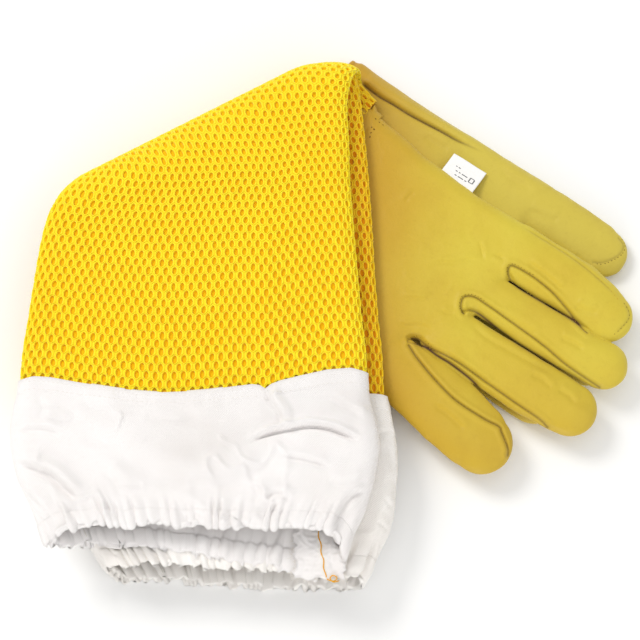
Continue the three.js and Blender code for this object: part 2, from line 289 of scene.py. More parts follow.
def yarn_mat(name, light, shade, painted_groove_shade):
    m, nt, b = new_mat(name)
    L = nt.links
    v = coords(nt)
    big = noise(nt, v, 18.0, 2.0, 0.5)
    fine = noise(nt, v, 900.0, 3.0, 0.6)
    c = mixc(nt, ramp(nt, big, 0.35, 0.7, 0.0, 0.5), light, shade)
    # painted shade: the point value 'shade' darkens the yarn in the groove between hole rims and down the hole walls
    at = nt.nodes.new("ShaderNodeAttribute"); at.attribute_name = "shade"
    c = mixc(nt, at.outputs["Fac"], c, painted_groove_shade)
    c = mixc(nt, ramp(nt, fine, 0.5, 0.75, 0.0, 0.25), c, shade)
    L.new(c, b.inputs["Base Color"])
    # plied yarn: fine slanting ridges
    w = nd(nt, "ShaderNodeTexWave", Scale=520.0, Distortion=1.5, Detail=1.0)
    w.bands_direction = "DIAGONAL"
    L.new(v, w.inputs["Vector"])
    n1 = bump(nt, w.outputs["Fac"], 0.35, 0.0002)
    n2 = bump(nt, noise(nt, v, 1500.0, 2.0, 0.6), 0.35, 0.0002, n1)
    L.new(n2, b.inputs["Normal"])
    b.inputs["Roughness"].default_value = 0.72
    b.inputs["Specular IOR Level"].default_value = 0.25
    b.inputs["Sheen Weight"].default_value = 0.25
    b.inputs["Sheen Roughness"].default_value = 0.45
    return m


def cotton_mat(name, base, shade, angle=0.75):
    m, nt, b = new_mat(name)
    L = nt.links
    v = coords(nt)
    big = noise(nt, v, 22.0, 3.0, 0.5)
    fine = noise(nt, v, 700.0, 3.0, 0.65)
    c = mixc(nt, ramp(nt, big, 0.4, 0.75, 0.0, 0.5), base, shade)
    vr = coords(nt, rot=(0, 0, angle))
    w = nd(nt, "ShaderNodeTexWave", Scale=370.0, Distortion=0.6, Detail=1.0)
    w.bands_direction = "X"
    L.new(vr, w.inputs["Vector"])
    w2 = nd(nt, "ShaderNodeTexWave", Scale=620.0, Distortion=0.4, Detail=1.0)
    w2.bands_direction = "Y"
    L.new(v, w2.inputs["Vector"])
    c = mixc(nt, ramp(nt, w.outputs["Fac"], 0.0, 0.45, 0.20, 0.0), c, shade)
    c = mixc(nt, ramp(nt, fine, 0.55, 0.85, 0.0, 0.25), c, shade)
    L.new(c, b.inputs["Base Color"])
    n1 = bump(nt, w.outputs["Fac"], 0.55, 0.0003)
    n2 = bump(nt, w2.outputs["Fac"], 0.25, 0.0002, n1)
    n3 = bump(nt, noise(nt, v, 900.0, 2.0, 0.6), 0.3, 0.0002, n2)
    L.new(n3, b.inputs["Normal"])
    b.inputs["Roughness"].default_value = 0.9
    b.inputs["Specular IOR Level"].default_value = 0.2
    b.inputs["Sheen Weight"].default_value = 0.3
    b.inputs["Sheen Roughness"].default_value = 0.5
    return m


def plain_mat(name, col, rough=0.8, vary=None, scale=400.0, strength=0.3):
    m, nt, b = new_mat(name)
    v = coords(nt)
    n = noise(nt, v, scale, 3.0, 0.6)
    nt.links.new(mixc(nt, ramp(nt, n, 0.4, 0.7, 0.0, 0.6), col, vary or col), b.inputs["Base Color"])
    nt.links.new(bump(nt, n, strength, 0.0002), b.inputs["Normal"])
    b.inputs["Roughness"].default_value = rough
    b.inputs["Specular IOR Level"].default_value = 0.25
    return m


M_LEATHER = leather_mat("leather_grain", srgb(212, 195, 62), srgb(206, 180, 50), srgb(160, 120, 30))
M_LEATHER_A = leather_mat("leather_grain_under", srgb(207, 187, 70), srgb(203, 181, 64), srgb(150, 118, 36))
M_YARN = yarn_mat("mesh_yarn", srgb(255, 238, 36), srgb(252, 226, 24), srgb(238, 198, 12))
# painted shade: a darker, more orange copy of the mesh yarn for the right sleeve, which lies in the left sleeve's shade
M_YARN_B = yarn_mat("mesh_yarn_inner", srgb(250, 216, 24), srgb(242, 198, 14), srgb(222, 166, 4))
M_BASE = plain_mat("mesh_base", srgb(244, 194, 8), 0.85, srgb(236, 176, 3), 800.0, 0.6)
# painted shade: a darker copy of the mesh base for the right sleeve
M_BASE_B = plain_mat("mesh_base_inner", srgb(226, 150, 2), 0.85, srgb(208, 130, 0), 800.0, 0.6)
M_COTTON = cotton_mat("cotton_twill", srgb(246, 243, 242), srgb(226, 220, 216))
# painted light: a brighter copy of the cuff cotton for the right cuff, lifting it out of the left cuff's shadow
M_COTTON_B = cotton_mat("cotton_twill_lit", srgb(250, 247, 243), srgb(232, 225, 217), 0.9)
M_COTTON_IN = plain_mat("cotton_inside", srgb(232, 228, 218), 0.95, srgb(218, 210, 198), 500.0, 0.4)
M_THREAD = plain_mat("thread_dark", srgb(112, 74, 20), 0.7, srgb(50, 28, 8), 1500.0, 0.2)
M_THREAD_Y = plain_mat("thread_yellow", srgb(236, 176, 40), 0.6, srgb(214, 150, 28), 1500.0, 0.2)
M_THREAD_W = plain_mat("thread_white", srgb(236, 232, 226), 0.8, srgb(222, 214, 206), 1500.0, 0.2)
M_THREAD_T = plain_mat("thread_tan", srgb(196, 156, 60), 0.7, srgb(170, 128, 44), 1500.0, 0.2)
M_LABEL = plain_mat("label_satin", srgb(250, 249, 247), 0.55, srgb(240, 239, 236), 700.0, 0.15)
M_MARK = plain_mat("label_print", srgb(120, 120, 120), 0.7, srgb(96, 96, 96), 900.0, 0.1)
M_ELASTIC = plain_mat("elastic_band", srgb(232, 228, 220), 0.8, srgb(210, 206, 196), 900.0, 0.5)

# ------------------------------------------------------------------ spacer mesh sleeves
# A sleeve is a flattened tube that is cut straight and folded over once. (x, y) is its plan before
# folding, w the height off its middle surface. The fold is a half turn about a line at FOLD_U.
def fold_map(x, y, w, R):
    v = x * F[0] + y * F[1]
    u = x * U[0] + y * U[1]
    e = FOLD_U - u
    r = R + w
    al = np.clip(e / R, 0, math.pi)
    uu = np.where(e <= 0, u, np.where(al < math.pi, FOLD_U - r * np.sin(al), FOLD_U + (e - math.pi * R)))
    z = np.where(e <= 0, FOLD_Z + r, np.where(al < math.pi, FOLD_Z + r * np.cos(al), FOLD_Z - r))
    return np.stack([v * F[0] + uu * U[0], v * F[1] + uu * U[1], z], -1), e


SLEEVES = {
    "left": dict(R=R_A, xl=([-39, 0, 30, 45.2, 61.4, 78, 95, 115, 182.7], [-152.1, -149.0, -145.0, -142.2, -137.0, -130.5, -141.0, -147.5, -147.7]),
                 xr=([-39, 5, 33, 55, 74, 112, 129.7, 142.7, 155.2, 164.8, 174.4, 182.7], [23.9, 21.0, 18.8, 17.1, 16.0, 14.2, 15.0, 15.2, 12.5, 5.5, -1.0, 0.0]),
                 top=182.7, n=76, rows=54,
                 seam=[(-151.1, -39.8), (-144.0, -38.6), (-135.7, -39.2), (-121.3, -42.0), (-103.4, -44.9), (-91.5, -46.5), (-79.6, -47.4), (-67.8, -46.9), (-55.9, -45.9), (-44.1, -44.6), (-32.2, -44.4), (-27.5, -45.6), (-22.7, -43.6), (-10.9, -39.6), (3.4, -35.8), (15.3, -34.5), (23.6, -35.5)]),
    "right": dict(R=R_B, xl=([-47, 48, 70, 161.0], [-143.0, -136.0, -132.0, -138.7]),
                  xr=([-46.5, 13, 49, 76, 98, 121, 132, 140, 161.0], [33.4, 29.9, 28.1, 26.1, 24.0, 21.6, 19.6, 16.0, 8.3]),
                  top=161.0, n=76, rows=51,
                  seam=[(-143, -48), (-100, -52), (-60, -52.5), (-10, -49), (20, -45.6), (33.6, -45.6)]),
}
EDGE = 9.5
from_fold = {}         # object name -> for each vertex, length past the start of the fold (below 0: lies back over the hands)
_q = np.linspace(0, math.pi / 2, 60)
_qx, _qz = EDGE * np.cos(_q), 4.75 * np.sin(_q)
_ql = np.concatenate([[0], np.cumsum(np.hypot(np.diff(_qx), np.diff(_qz)))])
QL = _ql[-1]


def soft_interp(x, xs, ys, width=7.0):
    """Interpolation through knots with its corners rounded."""
    g = np.linspace(xs[0] - 30, xs[-1] + 30, 600)
    v = np.interp(g, xs, ys)
    k = np.arange(-40, 41) * (g[1] - g[0])
    w = np.exp(-(k / width) ** 2); w /= w.sum()
    v = np.convolve(np.pad(v, 40, mode="edge"), w, "valid")
    return np.interp(x, g, v)


def section(a, W):
    """Closed flattened ring, half width W: a in 0..1 from the right edge over the top to the left edge and back below.
    Gives x offset, height and the outward normal."""
    a = np.mod(a, 1.0)
    lower = a > 0.5
    b = np.where(lower, 1 - a, a)                        # 0 right edge, 0.5 left edge
    flatlen = 2 * (W - EDGE)
    s = b * 2 * (2 * QL + flatlen)
    right = s < QL
    left = s > QL + flatlen
    th_r = np.interp(s, _ql, _q)
    th_l = np.interp(2 * QL + flatlen - s, _ql, _q)
    x = np.where(right, W - EDGE + EDGE * np.cos(th_r), np.where(left, -(W - EDGE + EDGE * np.cos(th_l)), W - EDGE - (s - QL)))
    z = np.where(right, 4.75 * np.sin(th_r), np.where(left, 4.75 * np.sin(th_l), 4.75))
    nx = np.where(right, np.cos(th_r) / EDGE, np.where(left, -np.cos(th_l) / EDGE, 0.0))
    nz = np.where(right, np.sin(th_r) / 4.75, np.where(left, np.sin(th_l) / 4.75, 1.0))
    ln = np.hypot(nx, nz)
    nx, nz = nx / ln, nz / ln
    sg = np.where(lower, -1.0, 1.0)
    return x, z * sg, nx, nz * sg


def sleeve_point(side, a, k, h, with_e=False):
    """a around the tube, k from 0 at the cuff seam to 1 at the wrist seam, h off the skin."""
    S = SLEEVES[side]
    a, k, h = np.broadcast_arrays(np.asarray(a, float), np.asarray(k, float), np.asarray(h, float))
    y_mid = -40 + (S["top"] + 40) * k
    xl, xr = soft_interp(y_mid, *S["xl"]), soft_interp(y_mid, *S["xr"])
    W, cx = (xr - xl) / 2, (xr + xl) / 2
    sx, sz, nx, nz = section(a, W)
    x = cx + sx + nx * h
    seam = np.asarray(S["seam"], float)
    y0 = np.interp(x, seam[:, 0], seam[:, 1])
    low = np.where(sz < 0, -2.0 if side == "left" else 0.0, 0.0)      # the skin below reaches a little further
    y = y0 + low + (S["top"] - y0 - low) * k
    w = sz + nz * h
    P, e = fold_map(x, y, w, S["R"])
    flatness = sm(-e / 45.0)
    if side == "left":
        # the fold rounds off towards its right end
        pv = P[..., 0] * F[0] + P[..., 1] * F[1]
        pu = P[..., 0] * U[0] + P[..., 1] * U[1]
        push = 13.0 * np.clip((pv - 50) / 34, 0, 1.2) ** 1.7 * (1 - sm((pu + 128) / 46))
        P[..., 0] += push * U[0]; P[..., 1] += push * U[1]
        P[..., 2] -= push * 0.25 * sm((P[..., 2] - 10) / 20)
    m = np.clip(sx / W, -1, 1)
    up = sz > 0
    if side == "left":
        zt = 40.2 + 4.5 * sm((-15 - P[..., 1]) / 50)
        sewn = 0.35 + 0.65 * sm(k / 0.10)                 # held flatter where the cuff is sewn on
        lift = np.where(up, (zt - 40.2) + flatness * sewn * (1.9 * (1 - m ** 2) + 0.75 * fbm(x, y, 42, 3) * (1 - m ** 4)), 0.0)
        P[..., 2] += lift * np.clip(np.abs(sz) / 4.75, 0, 1)
    else:
        zb = 0.3 + 20.5 * sm(((x * N[0] + y * N[1]) + 110) / 72)
        drop = np.where(up, 0.0, (20.8 - zb)) * flatness
        P[..., 2] -= drop * np.clip(np.abs(sz) / 4.75, 0, 1)
    # the flanks of a soft tube are never quite straight
    edge = np.abs(m) ** 3 * np.sign(m)
    P[..., 0] += edge * 0.7 * noise2(y, y * 0 + (3 if side == "left" else 9), 23, 5) * flatness
    return (P, e) if with_e else P


def net(side, mat, base_mat):
    """Spacer mesh: staggered oval holes with a raised rim, over a plain base skin."""
    S = SLEEVES[side]
    n, rows = S["n"], S["rows"]
    ang = np.arange(12) * math.pi / 6
    # boundary of a pointy-top cell, in units of the column and row pitch
    hexv = [(0, 2 / 3), (.25, .5), (.5, 1 / 3), (.5, 0), (.5, -1 / 3), (.25, -.5),
            (0, -2 / 3), (-.25, -.5), (-.5, -1 / 3), (-.5, 0), (-.5, 1 / 3), (-.25, .5)]
    per = 4 * (QL + 80)
    pitch_x, pitch_y = per / n, (S["top"] + 40) / rows
    jj, ii = np.meshgrid(np.arange(rows), np.arange(n), indexing="ij")
    jj, ii = jj.ravel(), ii.ravel()
    cu = ii + 0.5 * (jj % 2)
    cv = jj + 0.5
    rs = np.random.default_rng(11 if side == "left" else 12)
    cells = len(jj)
    # pulled long where the tube lies free, rounder towards the fold
    long_ = 1 - sm((cv / rows - 0.12) / 0.5)
    ru = (1.27 - 0.04 * long_) / pitch_x * (1 + 0.045 * rs.standard_normal(cells))
    rv = (1.80 + 0.38 * long_) / pitch_y * (1 + 0.04 * rs.standard_normal(cells))
    ju = 0.012 * rs.standard_normal(cells)
    jv = 0.012 * rs.standard_normal(cells)
    tilt = 0.06 * rs.standard_normal(cells)
    keys, boundary, bverts = {}, np.zeros((cells, 12), np.int64), []
    for b, (du, dv) in enumerate(hexv):
        kx = np.mod(np.round((cu + du) * 4).astype(int), 4 * n)
        ky = np.clip(np.round((cv + dv) * 6).astype(int), 0, rows * 6)
        for c in range(cells):
            key = (kx[c], ky[c])
            if key not in keys:
                keys[key] = len(bverts)
                bverts.append((kx[c] / 4 / n, ky[c] / 6 / rows))
            boundary[c, b] = keys[key]
    bverts = np.array(bverts)
    # G_ is painted shade for the yarn: strong in the groove between cells and at the foot of each hole wall
    U_, V_, H_, G_ = [bverts[:, 0]], [bverts[:, 1]], [np.full(len(bverts), -0.68)], [np.full(len(bverts), 0.72)]
    base = len(bverts)
    hx = np.array([p[0] for p in hexv]); hy = np.array([p[1] for p in hexv])
    # ellipse points, turned to face the matching boundary point
    th = np.arctan2(hy * pitch_y, hx * pitch_x)
    ex, ey = np.cos(th), np.sin(th)
    rings = [(0.60, -0.14, 0.22), (0.30, 0.0, 0.0), (0.0, -0.42, 0.15), (-0.05, -1.75, 0.9)]
    idx = []
    for f, h, g in rings:
        er = 1.0 if f >= 0 else 0.96
        px = (ju + ru * er * 1.0)[:, None] * 0 + ju[:, None] + ru[:, None] * er * ex[None] + tilt[:, None] * ru[:, None] * ey[None]
        py = jv[:, None] + rv[:, None] * er * ey[None]
        ff = max(f, 0.0)
        uu = cu[:, None] + px * (1 - ff) + hx[None] * ff
        vv = cv[:, None] + py * (1 - ff) + hy[None] * ff
        U_.append((uu / n).ravel()); V_.append(np.clip(vv / rows, 0, 1).ravel())
        H_.append(np.full(cells * 12, h)); G_.append(np.full(cells * 12, g))
        idx.append((base + np.arange(cells * 12)).reshape(cells, 12))
        base += cells * 12
    Uc, Vc, Hc, Gc = map(np.concatenate, (U_, V_, H_, G_))
    # the net thins out where the tube turns in at its flanks and where it is sewn
    P, Ev = sleeve_point(side, Uc, Vc, Hc, True)
    ringv = [boundary] + idx
    quads, cell_of = [], []
    for k in range(len(ringv) - 1):
        A_, B_ = ringv[k], ringv[k + 1]
        q = np.stack([A_, np.roll(A_, -1, 1), np.roll(B_, -1, 1), B_], -1).reshape(-1, 4)
        quads.append(q); cell_of.append(np.repeat(np.arange(cells), 12))
    Q = np.concatenate(quads); cell_of = np.concatenate(cell_of)
    # drop faces squeezed flat at the two ends
    same = (np.abs(P[Q[:, 0]] - P[Q[:, 1]]).sum(-1) < 1e-6) & (np.abs(P[Q[:, 2]] - P[Q[:, 3]]).sum(-1) < 1e-6)
    Q, cell_of = Q[~same], cell_of[~same]
    nrm = np.cross(P[Q[:, 2]] - P[Q[:, 0]], P[Q[:, 3]] - P[Q[:, 1]])
    vn = np.zeros_like(P)
    for c in range(4):
        np.add.at(vn, Q[:, c], nrm)
    # outward test on one face of the top skin
    probe = np.argmax(P[Q[:, 0], 2])
    if nrm[probe, 2] < 0:
        Q = flip(Q); vn = -vn
    vn /= np.maximum(np.linalg.norm(vn, axis=1, keepdims=True), 1e-12)
    half = (np.mod(cu[cell_of] / n, 1.0) < 0.5)
    out = []
    for tag, mask in (("outer", half), ("inner", ~half)):
        q = Q[mask]
        used, inv = np.unique(q, return_inverse=True)
        ob = make(f"{side}_mesh_{tag}_net", P[used], inv.reshape(q.shape), mat)
        ob.data.normals_split_custom_set_from_vertices(vn[used].astype(np.float32).tolist())
        at = ob.data.attributes.new("shade", "FLOAT", "POINT")
        at.data.foreach_set("value", Gc[used].astype(np.float32))
        from_fold[ob.name] = Ev[used]
        out.append(ob)
    # base skin under the net
    na, nk = 180, 110
    for tag, a0, a1 in (("outer", 0.0, 0.5), ("inner", 0.5, 1.0)):
        aa, kk = np.meshgrid(np.linspace(a0, a1, na // 2 + 1), np.linspace(0, 1, nk), indexing="ij")
        Pb, Eb = sleeve_point(side, aa.ravel(), kk.ravel(), np.full(aa.size, -1.62), True)
        f = grid_faces(na // 2 + 1, nk)
        ob = make(f"{side}_mesh_{tag}_base", Pb, flip(f), base_mat)
        from_fold[ob.name] = Eb
        out.append(ob)
    return out


def split_at_fold(ob, name):
    """Two objects from one: what lies back over the hands, and the rest. Custom normals are kept."""
    me = ob.data
    n = len(me.vertices)
    co = np.empty(n * 3, np.float32); me.vertices.foreach_get("co", co); co = co.reshape(-1, 3)
    nf = len(me.polygons)
    vi = np.empty(nf * 4, np.int32); me.loops.foreach_get("vertex_index", vi); vi = vi.reshape(-1, 4)
    nrm = np.empty(len(me.loops) * 3, np.float32); me.corner_normals.foreach_get("vector", nrm); nrm = nrm.reshape(-1, 3)
    vn = np.zeros((n, 3), np.float32); vn[vi.ravel()] = nrm
    sh = None
    if "shade" in me.attributes:
        sh = np.empty(n, np.float32); me.attributes["shade"].data.foreach_get("value", sh)
    keep = from_fold[ob.name][vi].mean(1) <= 0
    res = []
    for nm, mask in ((ob.name + "_tmp", keep), (name, ~keep)):
        q = vi[mask]
        used, inv = np.unique(q, return_inverse=True)
        o2 = make(nm, co[used] * 1000 - SHIFT, inv.reshape(q.shape), me.materials[0])
        o2.data.normals_split_custom_set_from_vertices(vn[used].tolist())
        if sh is not None:
            at = o2.data.attributes.new("shade", "FLOAT", "POINT"); at.data.foreach_set("value", sh[used])
        res.append(o2)
    old = ob.name
    bpy.data.objects.remove(ob)
    res[0].name = old
    return res


A_net_o, A_net_i, A_base_o, A_base_i = net("left", M_YARN, M_BASE)
B_net_o, B_net_i, B_base_o, B_base_i = net("right", M_YARN_B, M_BASE_B)


B_upper_o, B_bend_o = split_at_fold(B_net_o, "right_mesh_outer_net_bend")
B_upper_i, B_bend_i = split_at_fold(B_net_i, "right_mesh_inner_net_bend")
B_ubase_o, B_bbase_o = split_at_fold(B_base_o, "right_mesh_outer_base_bend")
B_ubase_i, B_bbase_i = split_at_fold(B_base_i, "right_mesh_inner_base_bend")

# ------------------------------------------------------------------ leather hands
def to_sq(x, y):
    return x * D[0] + y * D[1], x * N[0] + y * N[1]


def poly_sdf(px, py, poly):
    """Signed distance to a closed polygon, positive inside."""
    poly = np.asarray(poly, float)
    best = np.full(px.shape, 1e9)
    inside = np.zeros(px.shape, bool)
    m = len(poly)
    for i in range(m):
        a, b = poly[i], poly[(i + 1) % m]
        d = b - a
        t = np.clip(((px - a[0]) * d[0] + (py - a[1]) * d[1]) / max(d @ d, 1e-9), 0, 1)
        best = np.minimum(best, np.hypot(px - a[0] - t * d[0], py - a[1] - t * d[1]))
        c = ((a[1] > py) != (b[1] > py)) & (px < (b[0] - a[0]) * (py - a[1]) / ((b[1] - a[1]) or 1e-12) + a[0])
        inside ^= c
    return np.where(inside, best, -best)


def chain_sdf(px, py, pts):
    """Tapered capsules through (x, y, radius) knots, positive inside."""
    best = np.full(px.shape, -1e9)
    for (ax, ay, ar), (bx, by, br) in zip(pts[:-1], pts[1:]):
        dx, dy = bx - ax, by - ay
        t = np.clip(((px - ax) * dx + (py - ay) * dy) / (dx * dx + dy * dy), 0, 1)
        best = np.maximum(best, ar + (br - ar) * t - np.hypot(px - ax - t * dx, py - ay - t * dy))
    return best


def sq_chain(knots):
    return [(float(hand(s, q)[0]), float(hand(s, q)[1]), r) for s, q, r in knots]


RIGHT_FINGERS = {
    "index": sq_chain([(66, 88.0, 15.6), (80, 87.8, 15.7), (102, 88.0, 15.3), (115, 86.2, 14.6), (123.8, 84.0, 13.4)]),
    "middle": sq_chain([(64, 59.2, 12.4), (84, 59.2, 12.5), (105, 59.3, 12.6), (128, 59.9, 12.9), (135.3, 60.6, 12.9)]),
    "ring": sq_chain([(59, 30.3, 15.1), (80, 30.2, 15.3), (105, 30.2, 15.3), (127, 31.0, 15.0), (133.4, 31.4, 14.2)]),
    "little": [(37.0, -23.5, 16.6), (53.7, -37.2, 18.1), (67.0, -49.5, 19.0), (78.5, -61.0, 17.8), (82.3, -65.2, 16.4)],
}
RIGHT_PALM = [(-42, -27), (-40, -27), (0, -25), (40, -23), (43, -8), (43.5, 15), (45, 18.2), (56, 21), (64, 30), (64, 42), (67.5, 50), (70, 60),
              (70, 70), (71, 74), (72, 80), (72, 90), (70, 102.5), (30, 102.5), (0, 104.5), (-36, 111), (-42, 116)]
LEFT_FINGERS = {
    "index": sq_chain([(64, 30.2, 14.9), (100, 30.0, 15.0), (114.8, 29.4, 14.2)]),
    "middle": sq_chain([(64, 61.0, 14.4), (110, 61.0, 14.3), (126.5, 60.8, 13.4)]),
    "ring": sq_chain([(58, 89.8, 13.6), (100, 89.7, 13.5), (118.5, 89.4, 12.8)]),
    "little": sq_chain([(50, 117.2, 14.2), (75, 117.2, 14.6), (97, 116.4, 14.4), (102.5, 115.8, 13.6)]),
}
LEFT_PALM = [(-48, -24), (-40, -22), (0, 3), (30, 12), (69, 14.5), (70, 74), (62, 78), (62, 131.4), (30, 131.8), (0, 132.0), (-30, 132.8), (-50, 134.0), (-62, 134.6), (-68, 131.5), (-68, 122), (-60, 104), (-50, 84), (-48, 70)]

# seams, gaps and creases in plan
D2_LOW = [(46.1, -11), (50.7, -10.5), (56.9, -15.8), (70.5, -23.2), (86, -34.4), (99.6, -44.4), (112.2, -53.3), (116.7, -57.5)]
D1_FACE = [(46, -14.7), (50.6, -22.2), (60.2, -34.4), (70.1, -44.4), (83.5, -53.3), (91.6, -57.5), (92.9, -60.4), (96, -68.5), (95.9, -72.4)]
D3_LOW = [(74.6, 2.4), (73.4, 4.6), (73.3, 7.8), (74.9, 11), (80.1, 11), (86.8, 6.7), (100.6, -3.5), (115.3, -14.7), (127.7, -25.4), (139, -33.3), (144.1, -36.5)]
D4_LOW = [(99.4, 21.4), (98.5, 23.2), (98.4, 26.8), (101.3, 27.9), (111.1, 21.9), (120.8, 13.7), (128.6, 4.6), (135.3, -4.6), (138.3, -7.8)]
G1_GAP = [(46.0, -12.4), (51.3, -13.6), (55.6, -15.9), (60.7, -19.8), (65.8, -23.0), (71.0, -26.8), (77.3, -31.9), (83.8, -38.0)]
G2_GAP = [(74.4, 3.4), (77.5, 4.4), (81.4, 3.4), (87, -0.7), (100.8, -12.0), (115.7, -21.4), (127.4, -29.2), (140, -37.2)]
G3_GAP = [(99.2, 22.6), (103.5, 17), (116.4, 8.9), (128.9, 1.3), (138.0, -5.4)]
D4_UP = [(104, 50.6), (115, 44.0), (126.0, 36.6), (131.4, 32.6), (136, 29.0), (142.1, 23.6), (150.2, 16.0), (155.4, 9.0)]
D4_TIP = [(157.6, 8.6), (160.3, 4.1), (160.4, 0.2), (157.0, -4.4), (152.6, -8.6)]
PALM_WRINKLES = [
    [(41.5, 9.4), (47, 10.4), (53.5, 9.8), (60, 11.2)],
    [(56.2, 27.2), (63, 29.6), (70, 29.4), (77.5, 31.2), (84, 30.8)],
    [(38.5, -2.5), (44.5, -4.6), (51.5, -4.2), (58, -6.7)],
    [(62.0, 3.5), (66.4, 2.2), (70.4, 3.2)],
    [(44, 62), (47.5, 66.5), (50.5, 68.0)],
    [(83, 42), (84.6, 36.0), (85.0, 30.5)],
    [(96.5, 31.2), (93.0, 33.4), (89.5, 34.0)],
]
FINGER_LINES = [
    [(77.7, -3.0), (86.4, -11.0), (103.2, -20.8), (119.5, -29.9)],
    [(64, -18), (76, -27), (88, -36)],
    [(92, 4), (104, -4), (113, -10)],
    [(108, 30), (118, 22), (126, 14)],
    [(58, -46), (66, -52), (74, -60)],
    [(108, -30.5), (114, -33.0), (119, -38.0)],
    [(122, -38.5), (127, -41.5), (131, -46.0)],
    [(124, -11.5), (130, -13.5), (136, -17.5)],
    [(132, 6.5), (138, 3.5), (144, 2.5)],
]
ROLL_A = [(22.0, 134.4), (31.3, 126.6), (39.8, 121.4), (48.4, 115.6), (64.4, 106.5), (73.9, 100.8), (83.2, 96.3), (89.5, 93.0)]


def right_relief(x, y):
    """Height and darkness added to the upper side of the right hand: dark seam lines with painted shade in their
    grooves, and painted shade down the gaps between the fingers.
    """
    h = 0.5 * fbm(x, y, 26, 21) + 0.16 * fbm(x, y, 7, 22)
    # faint rucks where the skin folds on itself
    h += 0.13 * sm((fbm(x, y, 30, 24) + 0.1) / 0.4) * np.exp(-(fbm(x, y, 19, 23) / 0.09) ** 2)
    g = np.zeros_like(h)
    for line, dep, wid in ((D2_LOW, 0.95, 0.62), (D1_FACE, 1.0, 0.66), (D3_LOW, 0.95, 0.62), (D4_LOW, 0.95, 0.62)):
        d, s, t = seg_dist(x, y, smooth_line(line, 80))
        # plump on both sides of a seam, deep in it
        h += -dep * np.exp(-(d / wid) ** 2) + 0.60 * np.exp(-((d - 2.0) / 1.4) ** 2)
        # dark seam line, with a softer band of painted shade in and beside its groove
        g += 0.52 * np.exp(-(d / 0.44) ** 2)
        g += 0.12 * np.exp(-(d / 1.3) ** 2)
    for line, dep, wid, dark in ((G1_GAP, 2.4, 0.85, 1.0), (G2_GAP, 2.2, 0.8, 0.9), (G3_GAP, 2.2, 0.8, 0.9)):
        d, s, t = seg_dist(x, y, smooth_line(line, 80))
        h += -dep * np.exp(-(d / wid) ** 2)
        f = sm(np.minimum(t, 1 - t) / 0.12)
        # painted shade down the gap between two fingers
        g += f * (0.85 * dark * np.exp(-(d / 0.62) ** 2) + 0.18 * np.exp(-(d / 1.6) ** 2))
    for line in (D4_UP, D4_TIP):
        d, s, t = seg_dist(x, y, smooth_line(line, 60))
        f = sm(np.minimum(t, 1 - t) / 0.2)
        h += f * (-0.30 * np.exp(-(d / 0.6) ** 2) + 0.12 * np.exp(-((d - 1.6) / 0.9) ** 2))
        # dark seam line along the index edge and tip, partly painted shade in its groove
        g += 0.22 * f * np.exp(-(d / 0.5) ** 2)
    for k, line in enumerate(PALM_WRINKLES):
        h += crease(x, y, line, 0.9, 0.52, 0.30, 2.1, 0.3)
    for k, line in enumerate(FINGER_LINES):
        h += crease(x, y, line, 1.4, 0.60, 0.42, 3.0)
    # slight lengthwise pulls towards the crotches
    s, q = to_sq(x, y)
    h += 0.22 * noise2(s / 3.2, q, 5.5, 31) * sm((s - 40) / 40)
    return h, np.clip(g, 0, 1)


def left_relief(x, y):
    h = 0.5 * fbm(x, y, 30, 41) + 0.14 * fbm(x, y, 8, 42)
    g = np.zeros_like(h)
    d, s, t = seg_dist(x, y, smooth_line(ROLL_A, 80))
    sd = d * s                                   # left of the line is the rolled outer edge
    f = sm(t / 0.04) * sm((1 - t) / 0.32)
    h += f * (-2.1 * np.exp(-(d / 1.0) ** 2) + 0.9 * np.exp(-((sd - 4.2) / 2.6) ** 2) + 0.35 * np.exp(-((-sd - 4) / 3.0) ** 2))
    # painted shade in the fold under the rolled edge
    g += 0.85 * f * np.exp(-(d / 0.6) ** 2)
    for line in ([(158.0, 47.0), (160.4, 43.2), (159.4, 39.2), (155.4, 35.6), (149.0, 33.0), (144.0, 33.2)],):
        d, s, t = seg_dist(x, y, smooth_line(line, 60))
        h += -0.35 * np.exp(-(d / 0.6) ** 2)
        # dark seam line at the tip, partly painted shade in its groove
        g += 0.3 * np.exp(-(d / 0.5) ** 2)
    for line in ([(96, 84), (104, 78), (113, 74)], [(110, 62), (119, 58), (127, 56)], [(56, 104), (63, 98), (69, 96)]):
        h += crease(x, y, line, 2.0, 0.45, 0.35, 4.0)
    return h, np.clip(g, 0, 1)


